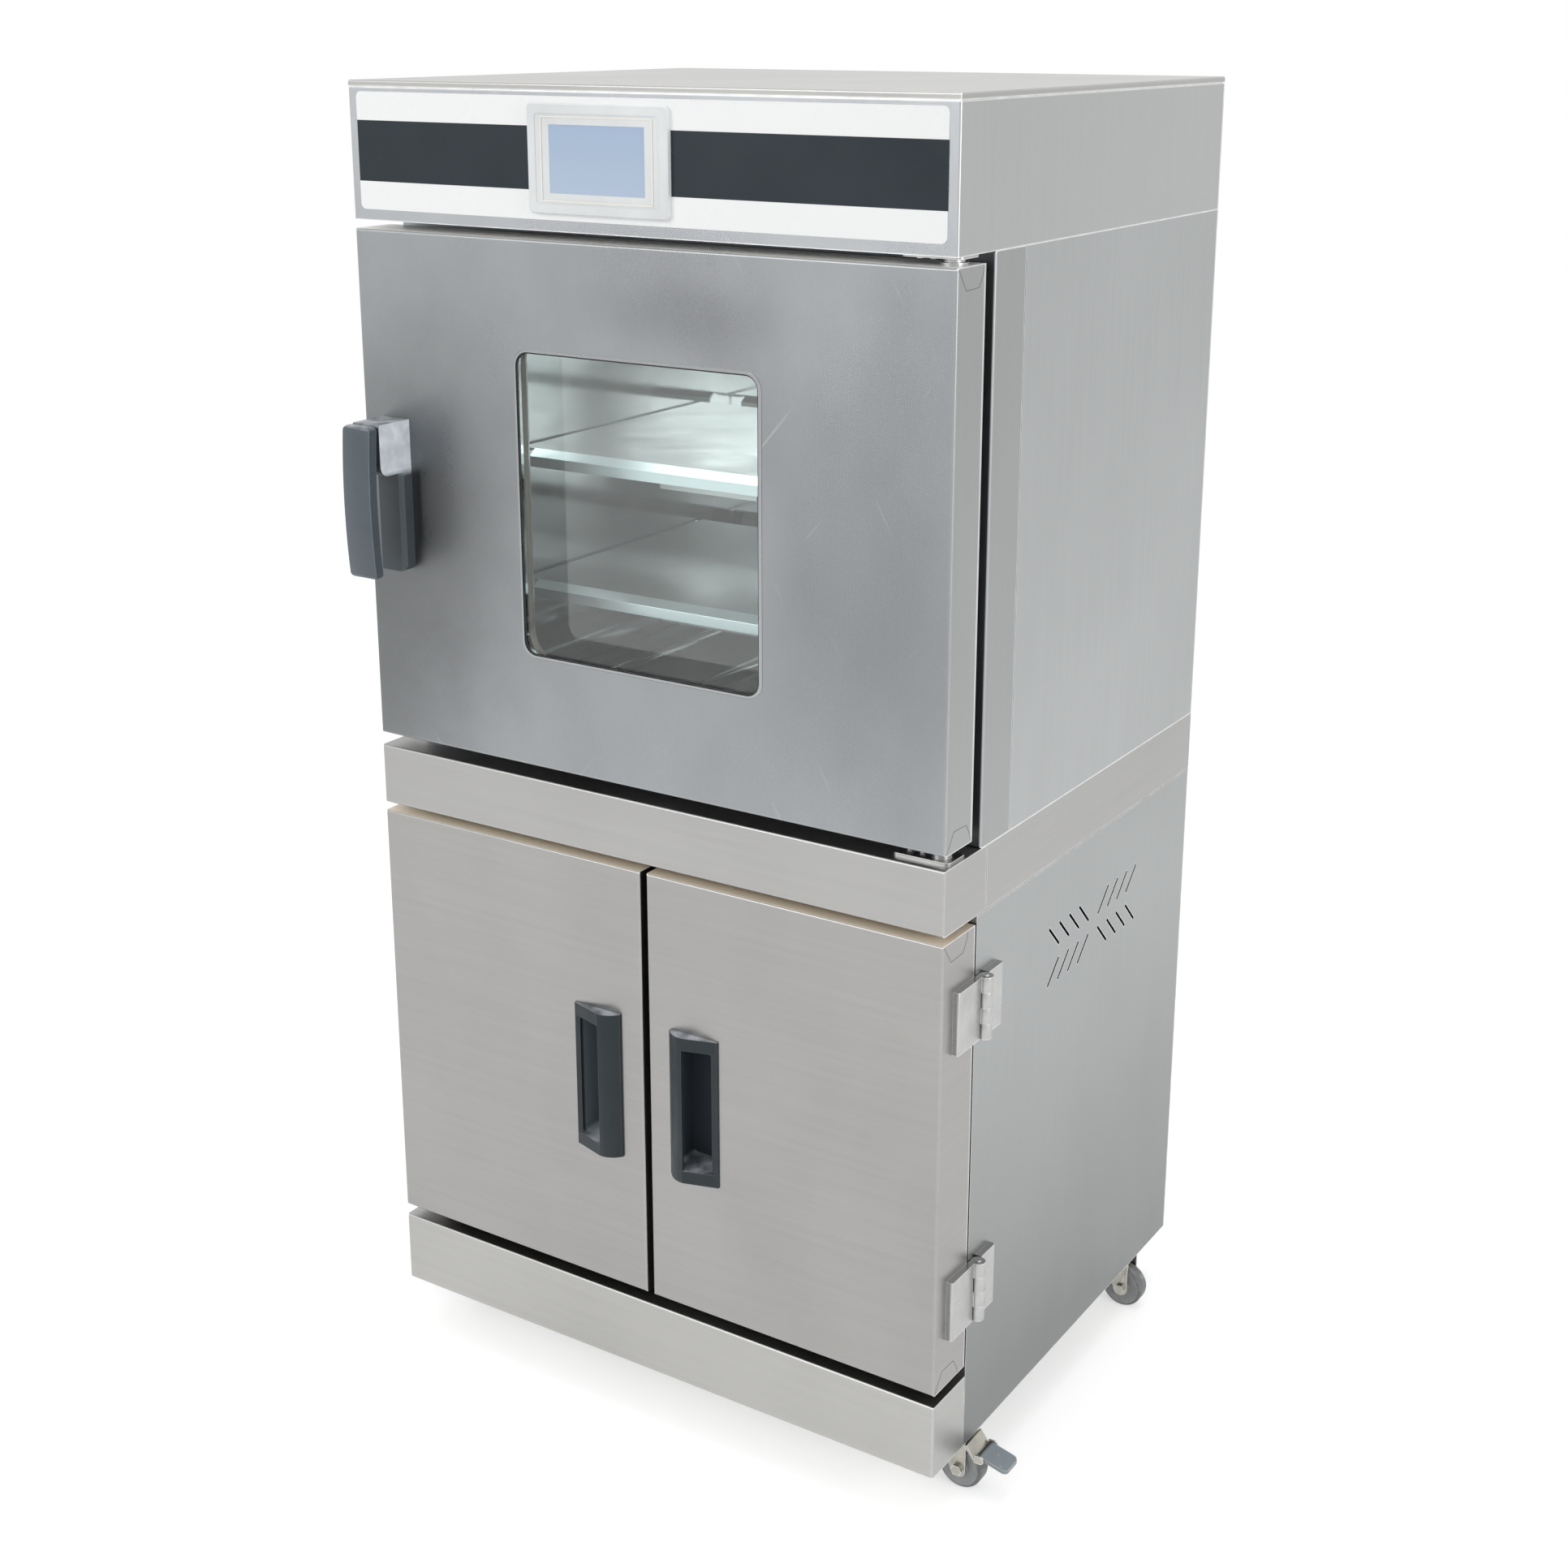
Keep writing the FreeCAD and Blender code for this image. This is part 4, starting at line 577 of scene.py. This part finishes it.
# Oven body: stainless sheet rolled with a fine diamond pattern, which shows on the
# fronts, and plain satin folds and side sheets. The door has soft darker patches,
# which are painted reflections, and fine light scratches; the diamonds' ridges and the folded edges carry a
# painted highlight.
embossed_colour = (0.30, 0.313, 0.322, 1.0)
fold_colour = (0.345, 0.352, 0.352, 1.0)
frame_colour = (0.26, 0.27, 0.29, 1.0)
# Pale painted light on the oven door's top fold and the head's bottom fold, which face a narrow gap.
oven_gap_light_colour = (0.90, 0.90, 0.88, 1.0)
# Painted highlight on the diamonds' ridges.
diamond_highlight_colour = (0.66, 0.68, 0.70, 1.0)
scratch_colour = (0.75, 0.77, 0.78, 1.0)
# Painted highlight on the folded edges.
embossed_edge_highlight = (0.94, 0.94, 0.94, 1.0)
diamond_pitch = 0.0023
diamond_depth = 0.00016
patch_depth = 9.0
# Painted reflections: soft darker patches on the door.
# Each patch: centre across and up, half width and half height, and strength.
painted_reflection_patches = (((-0.27, 0.98), (0.20, 0.32), 0.75), ((-0.335, 0.86), (0.16, 0.34), 0.85),
                 ((0.25, 0.96), (0.16, 0.34), 0.42), ((0.06, 1.225), (0.16, 0.05), 0.35))
scratch_turns = (0.5, -0.7)
scratch_stretch = (1.0, 1.0, 0.05)

embossed, start, end = new_group("embossed_diamonds", [("Pitch", "Float", 0.002)], [("Height", "Float")])
spot = axes(embossed, on_piece(embossed))
across = calc(embossed, "ADD", spot["X"], spot["Y"])
turns = calc(embossed, "DIVIDE", math.pi, start["Pitch"])
height = None
for slope in ("ADD", "SUBTRACT"):
    angle = calc(embossed, "MULTIPLY", calc(embossed, slope, across, spot["Z"]), turns)
    wave = calc(embossed, "SINE", angle)
    ridge = calc(embossed, "MULTIPLY", wave, wave)
    height = ridge if height is None else calc(embossed, "MULTIPLY", height, ridge)
feed(embossed, height, end["Height"])

soft_patch, start, end = new_group(
    "soft_spot", [("Centre", "Vector", (0.0, 0.0, 0.0)), ("Reach", "Vector", (1.0, 1.0, 1.0))],
    [("Mask", "Float")])
offset = vector_calc(soft_patch, "SUBTRACT", on_piece(soft_patch), start["Centre"])
reach = vector_calc(soft_patch, "LENGTH", vector_calc(soft_patch, "DIVIDE", offset, start["Reach"]))
wobble = calc(soft_patch, "MULTIPLY", calc(soft_patch, "SUBTRACT", spot_noise(soft_patch, 9.0, 4.0), 0.5), 0.5)
feed(soft_patch, spread(soft_patch, calc(soft_patch, "ADD", reach, wobble), 1.0, 0.1, 0.0, 1.0, "SMOOTHSTEP"),
     end["Mask"])

scratches, start, end = new_group("fine_scratches", [("Scale", "Float", 90.0)], [("Mask", "Float")])
found = None
for turn in scratch_turns:
    tilt = scratches.nodes.new("ShaderNodeVectorRotate")
    tilt.rotation_type = "Y_AXIS"
    tilt.inputs["Angle"].default_value = turn
    feed(scratches, on_piece(scratches), tilt.inputs["Vector"])
    thin = vector_calc(scratches, "MULTIPLY", tilt.outputs[0], scratch_stretch)
    mask = spread(scratches, noise_at(scratches, thin, start["Scale"], 1.0), 0.73, 0.80, 0.0, 1.0)
    found = mask if found is None else calc(scratches, "MAXIMUM", found, mask)
feed(scratches, found, end["Mask"])


def embossed_finish(name, colour, rough, cloud, patches, side_colour, ledge=None):
    finish, tree, shader = new_finish(name, 1.0, rough)
    sheet = place_group(tree, rolled, Colour=colour, Grain_Stretch=(1.0, 1.0, 1.0), Cloud=cloud,
                        Grain=0.03, Rough=rough)
    plain = place_group(tree, rolled, Colour=side_colour, Grain_Stretch=grain_upright, Cloud=0.12,
                        Grain=0.06, Rough=rough)
    front = place_group(tree, facing_way, Way=(0.0, -1.0, 0.0), Limit=0.6)["Mask"]
    relief = place_group(tree, embossed, Pitch=diamond_pitch)["Height"]
    edge_light_and_wear = place_group(tree, edges, Radius=0.0022, Strength=1.0)["Mask"]
    base = sheet["Colour"]
    # Painted reflections: soft darker patches where they are placed.
    for (x, z), (half_x, half_z), strength in patches:
        shade = place_group(tree, soft_patch, Centre=(x, 0.0, z), Reach=(half_x, patch_depth, half_z))
        base = blend_colours(tree, calc(tree, "MULTIPLY", shade["Mask"], strength), base,
                             toned(colour, 0.45))
    # Painted highlight on the diamonds' ridges.
    ridge_highlight = spread(tree, relief, 0.45, 1.0, 0.0, 0.34)
    base = blend_colours(tree, ridge_highlight, base, diamond_highlight_colour)
    marks = calc(tree, "MULTIPLY", place_group(tree, scratches, Scale=150.0)["Mask"],
                 spread(tree, spot_noise(tree, 5.0, 3.0), 0.50, 0.68, 0.0, 0.30))
    base = blend_colours(tree, marks, base, scratch_colour)
    base = blend_colours(tree, front, plain["Colour"], base)
    # Pale painted light on a fold that faces into a narrow gap.
    if ledge is not None:
        base = painted_gap_light(tree, shader, base, ledge)
    # Painted highlight on the folded edges.
    feed(tree, blend_colours(tree, edge_light_and_wear, base, embossed_edge_highlight), shader.inputs["Base Color"])
    feed(tree, sheet["Rough"], shader.inputs["Roughness"])
    bump(tree, shader, calc(tree, "MULTIPLY", relief, front), diamond_depth, 0.7)
    return finish


dress(embossed_finish("door_steel", embossed_colour, 0.30, 0.30, painted_reflection_patches, fold_colour,
                      ledge=(oven_gap_light_colour, 1.0)), "oven_door_skin")
dress(embossed_finish("frame_steel", frame_colour, 0.32, 0.15, (), fold_colour), "body_front_frame")
dress(satin_upright, "body_side_panels", "body_back_panel", "oven_door_lining")
fold_seams("fold_seams_oven_right", "oven_door_skin", "oven_door", 1)
fold_seams("fold_seams_oven_left", "oven_door_skin", "oven_door", -1)


# Chamber: welded polished stainless vessel with a pressed floor tray, shelf
# runners, two smooth shelves, the probe and the vacuum port. A small lamp under its
# roof stands for the daylight that the real one gathers.
chamber_colour = (0.875, 0.90, 0.897, 1.0)
tray_colour = (0.76, 0.77, 0.76, 1.0)
# Painted highlight on polished edges.
polish_edge_highlight = (0.95, 0.96, 0.96, 1.0)
shelf_dark = (0.50, 0.53, 0.525, 1.0)
shelf_pale = (0.62, 0.645, 0.64, 1.0)
# Painted reflection on the shelves' front strip and lip.
shelf_lip_reflection_colour = (0.70, 0.80, 0.81, 1.0)
lip_depth = 0.010
lip_blend = 0.0004


def polished_finish(name, colour, rough, wave_scale, wave_depth):
    finish, tree, shader = new_finish(name, 1.0, rough)
    stains = spread(tree, spot_noise(tree, 12.0, 5.0), 0.35, 0.75, 0.0, 0.22)
    base = blend_colours(tree, stains, colour, toned(colour, 0.7))
    edge_light_and_wear = place_group(tree, edges, Radius=0.0016, Strength=0.8)["Mask"]
    # Painted highlight on the edges.
    feed(tree, blend_colours(tree, edge_light_and_wear, base, polish_edge_highlight), shader.inputs["Base Color"])
    feed(tree, spread(tree, spot_noise(tree, 25.0, 3.0), 0.3, 0.7, rough - 0.03, rough + 0.05),
         shader.inputs["Roughness"])
    bump(tree, shader, spot_noise(tree, wave_scale, 0.5), wave_depth, 0.6)
    return finish


dress(polished_finish("chamber_polish", chamber_colour, 0.09, 5.0, 0.0006),
      "chamber", "shelf_runners", "window_tunnel", "vacuum_port", "temperature_probe")
dress(polished_finish("tray_polish", tray_colour, 0.05, 8.0, 0.0060), "chamber_floor_pan")

lip_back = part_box("shelf_upper")[0].y + lip_depth
finish, tree, shader = new_finish("shelf_satin", 0.75, 0.34)
lip_reflection = spread(tree, axes(tree, on_piece(tree))["Y"], lip_back, lip_back + lip_blend, 1.0, 0.0)
top = blend_colours(tree, spread(tree, spot_noise(tree, 6.0, 3.0), 0.35, 0.65, 0.0, 1.0),
                    shelf_dark, shelf_pale)
# Painted reflection on the front strip and lip.
feed(tree, blend_colours(tree, lip_reflection, top, shelf_lip_reflection_colour), shader.inputs["Base Color"])
feed(tree, spread(tree, spot_noise(tree, 25.0, 3.0), 0.3, 0.7, 0.30, 0.40), shader.inputs["Roughness"])
bump(tree, shader, spot_noise(tree, 8.0, 0.0), 0.0002, 0.4)
dress(finish, "shelf_upper", "shelf_lower")
ease_edges(0.0004, "shelf_upper", "shelf_lower", "vacuum_port")

softbox("chamber_lamp", (0.0, -0.17, 1.222), (0.0, 0.06, 1.0), wide=0.34, tall=0.05, power=0.36)


# Hidden fillings: mineral wool, heating mats and the silicone seal round the mouth.
def grained_finish(name, rough, grain, dark, pale, depth):
    """Two tones of a fine grain, which also gives the relief."""
    finish, tree, shader = new_finish(name, 0.0, rough)
    pattern = spot_noise(tree, *grain)
    feed(tree, blend_colours(tree, pattern, dark, pale), shader.inputs["Base Color"])
    bump(tree, shader, pattern, depth)
    return finish


dress(grained_finish("mineral_wool", 0.95, (220.0, 6.0, (1.0, 0.2, 1.0)), (0.50, 0.44, 0.26, 1.0),
                     (0.72, 0.66, 0.46, 1.0), 0.002), "insulation", "oven_door_core")
dress(grained_finish("heater_rubber", 0.6, (400.0, 1.0, (1.0, 0.1, 1.0)), (0.36, 0.10, 0.05, 1.0),
                     (0.50, 0.17, 0.09, 1.0), 0.0002), "heater_mats")

seal_silicone, tree, shader = new_finish("seal_silicone", 0.0, 0.5)
bloom = spread(tree, spot_noise(tree, 60.0, 4.0), 0.4, 0.75, 0.0, 0.6)
feed(tree, blend_colours(tree, bloom, (0.012, 0.012, 0.013, 1.0), (0.045, 0.045, 0.05, 1.0)),
     shader.inputs["Base Color"])
bump(tree, shader, spot_noise(tree, 500.0, 2.0), 0.00005)
dress(seal_silicone, "door_seal")


# Door window: two toughened panes on a spacer frame, a dark gasket in front of the
# outer pane and a bright bead on the cut-out's edge.
glass_tint = (0.955, 0.985, 0.98, 1.0)
clear_tint = (0.985, 0.995, 0.995, 1.0)
glass_bend = 1.45
bead_colour = (0.36, 0.37, 0.38, 1.0)
bead_width = 0.003
gasket_width = 0.0016
gasket_depth = 0.0014
gasket_stand = 0.0001
gasket_corner = 0.015
corner_steps = 8

finish, tree, shader = new_finish("toughened_glass", 0.0, 0.0)
shader.inputs["Transmission Weight"].default_value = 1.0
shader.inputs["IOR"].default_value = glass_bend
haze = spread(tree, spot_noise(tree, 9.0, 5.0), 0.55, 0.85, 0.0, 0.35)
feed(tree, blend_colours(tree, haze, glass_tint, toned(glass_tint, 0.9)), shader.inputs["Base Color"])
feed(tree, spread(tree, spot_noise(tree, 6.0, 4.0), 0.5, 0.8, 0.0, 0.05), shader.inputs["Roughness"])
clear = tree.nodes.new("ShaderNodeBsdfTransparent")
clear.inputs["Color"].default_value = clear_tint
# Shadow rays and mirrored rays pass straight through; a ray that already went through
# a pane counts as glossy too, so it is told apart by its transmission.
rays = tree.nodes.new("ShaderNodeLightPath").outputs
mirrored_ray = calc(tree, "MULTIPLY", rays["Is Glossy Ray"],
                    calc(tree, "SUBTRACT", 1.0, rays["Is Transmission Ray"]))
pick = tree.nodes.new("ShaderNodeMixShader")
feed(tree, calc(tree, "MAXIMUM", rays["Is Shadow Ray"], mirrored_ray), pick.inputs[0])
tree.links.new(shader.outputs[0], pick.inputs[1])
tree.links.new(clear.outputs[0], pick.inputs[2])
tree.links.new(pick.outputs[0], tree.nodes["Material Output"].inputs["Surface"])
dress(finish, "outer_glass", "inner_glass")
dress(plated_finish("bright_bead", bead_colour, 0.25, 0.1, 0.12), "window_bead")


def rounded_ring(form, centre, half_x, half_z, corner, width, y0, y1):
    """Ring with round corners, standing upright; width goes inwards."""
    def outline(shrink, y):
        points = []
        for cx, cz, turn in ((1, 1, 0), (-1, 1, 90), (-1, -1, 180), (1, -1, 270)):
            for i in range(corner_steps + 1):
                angle = math.radians(turn + 90 * i / corner_steps)
                radius = corner - shrink
                points.append(Vector((centre[0] + cx * (half_x - corner) + radius * math.cos(angle), y,
                                      centre[1] + cz * (half_z - corner) + radius * math.sin(angle))))
        return [form.verts.new(p) for p in points]
    loops = [outline(0.0, y0), outline(width, y0), outline(width, y1), outline(0.0, y1)]
    count = len(loops[0])
    for k in range(4):
        a, b = loops[k], loops[(k + 1) % 4]
        for i in range(count):
            j = (i + 1) % count
            form.faces.new((a[i], a[j], b[j], b[i]))
    bmesh.ops.recalc_face_normals(form, faces=form.faces)


def upright_middle(name):
    """Middle of a piece seen from the front, and half its width and height."""
    low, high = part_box(name)
    return ((low.x + high.x) / 2, (low.z + high.z) / 2), (high.x - low.x) / 2, (high.z - low.z) / 2


window_centre, bead_half_x, bead_half_z = upright_middle("window_bead")
skin_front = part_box("oven_door_skin")[0].y
form = bmesh.new()
rounded_ring(form, window_centre, bead_half_x - bead_width, bead_half_z - bead_width, gasket_corner,
             gasket_width, skin_front + gasket_stand, skin_front + gasket_depth)
gasket = mesh_object("window_gasket", form, True)
gasket.data.materials.append(seal_silicone)
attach(gasket, "oven_door")


# Door latch: moulded base with its boss, and the bowed lever on its steel shaft.
# The lever is handled most, so it is smoother and its edges are polished.
lever_colour = (0.072, 0.092, 0.110, 1.0)
lever_worn_colour = (0.34, 0.38, 0.41, 1.0)
latch_base_colour = (0.050, 0.062, 0.072, 1.0)
latch_base_worn_colour = (0.16, 0.18, 0.20, 1.0)

dress(moulded_finish("lever_moulding", lever_colour, 0.28, 0.8, lever_worn_colour), "latch_lever")
# The boss's side carries painted light.
dress(moulded_finish("latch_base_moulding", latch_base_colour, 0.40, 1.0, latch_base_worn_colour,
                     lit_boss_side=True), "latch_base")
ease_edges(0.0010, "latch_lever", "latch_base")


# Head: control box with a loose cover, its printed film, the touch panel and the
# electronics on its floor.
head_front_colour = (0.40, 0.415, 0.43, 1.0)
head_side_colour = (0.43, 0.437, 0.437, 1.0)
film_white = ((0.93, 0.94, 0.945, 1.0), (0.96, 0.965, 0.965, 1.0))
film_dark = ((0.014, 0.022, 0.030, 1.0), (0.022, 0.031, 0.040, 1.0))
stripe_half = 0.030
print_blend = 0.0002

# The head's bottom fold gets pale painted light.
dress(embossed_finish("head_steel", head_front_colour, 0.28, 0.30, (), head_side_colour,
                      ledge=(oven_gap_light_colour, -1.0)), "head_housing")
dress(satin_along, "head_cover", "head_back")

film_centre = upright_middle("fascia_film")[0]
finish, tree, shader = new_finish("printed_film", 0.0, 0.30, 0.3)
off_centre = calc(tree, "ABSOLUTE", calc(tree, "SUBTRACT", axes(tree, on_piece(tree))["Z"], film_centre[1]))
stripe = spread(tree, off_centre, stripe_half - print_blend, stripe_half + print_blend, 1.0, 0.0)
paper = spot_noise(tree, 5.0, 3.0)
white = blend_colours(tree, paper, *film_white)
dark = blend_colours(tree, spread(tree, paper, 0.3, 0.7, 0.0, 1.0), *film_dark)
feed(tree, blend_colours(tree, stripe, white, dark), shader.inputs["Base Color"])
feed(tree, spread(tree, spot_noise(tree, 14.0, 4.0), 0.3, 0.7, 0.22, 0.36), shader.inputs["Roughness"])
bump(tree, shader, spot_noise(tree, 900.0, 2.0), 0.00002, 0.5)
dress(finish, "fascia_film")


# Touch panel: pale moulded frame with a cream printed line round the screen, and the
# screen, whose picture is left plain.
panel_colour = (0.73, 0.75, 0.75, 1.0)
panel_worn_colour = (0.60, 0.66, 0.72, 1.0)
cream_print = ((0.93, 0.90, 0.82, 1.0), (0.96, 0.94, 0.88, 1.0))
screen_foot_colour = (0.47, 0.57, 0.72, 1.0)
screen_top_colour = (0.40, 0.52, 0.69, 1.0)
line_width = 0.0011
line_stand = 0.00015
line_corner = 0.002
line_share_x, line_share_z = 0.797, 0.766

dress(moulded_finish("panel_moulding", panel_colour, 0.38, 0.0, panel_worn_colour), "touch_panel_bezel")
ease_edges(0.0005, "touch_panel_bezel")

finish, tree, shader = new_finish("cream_print", 0.0, 0.4)
feed(tree, blend_colours(tree, spot_noise(tree, 90.0, 3.0), *cream_print), shader.inputs["Base Color"])
bezel_centre, bezel_half_x, bezel_half_z = upright_middle("touch_panel_bezel")
bezel_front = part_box("touch_panel_bezel")[0].y
form = bmesh.new()
rounded_ring(form, bezel_centre, bezel_half_x * line_share_x, bezel_half_z * line_share_z, line_corner,
             line_width, bezel_front - line_stand, bezel_front + line_stand)
print_frame = mesh_object("panel_print_frame", form)
print_frame.data.materials.append(finish)
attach(print_frame, "cabinet")

screen_low, screen_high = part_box("touch_panel_screen")
finish, tree, shader = new_finish("screen_glass", 0.0, 0.12)
rise = spread(tree, axes(tree, on_piece(tree))["Z"], screen_low.z, screen_high.z, 0.0, 1.0)
feed(tree, blend_colours(tree, rise, screen_foot_colour, screen_top_colour), shader.inputs["Base Color"])
feed(tree, spread(tree, spot_noise(tree, 20.0, 4.0), 0.4, 0.7, 0.08, 0.18), shader.inputs["Roughness"])
bump(tree, shader, spot_noise(tree, 1500.0, 1.0), 0.00001, 0.4)
dress(finish, "touch_panel_screen")

dress(grained_finish("board_laminate", 0.45, (800.0, 2.0), (0.015, 0.11, 0.05, 1.0),
                     (0.03, 0.18, 0.08, 1.0), 0.0001), "control_electronics")
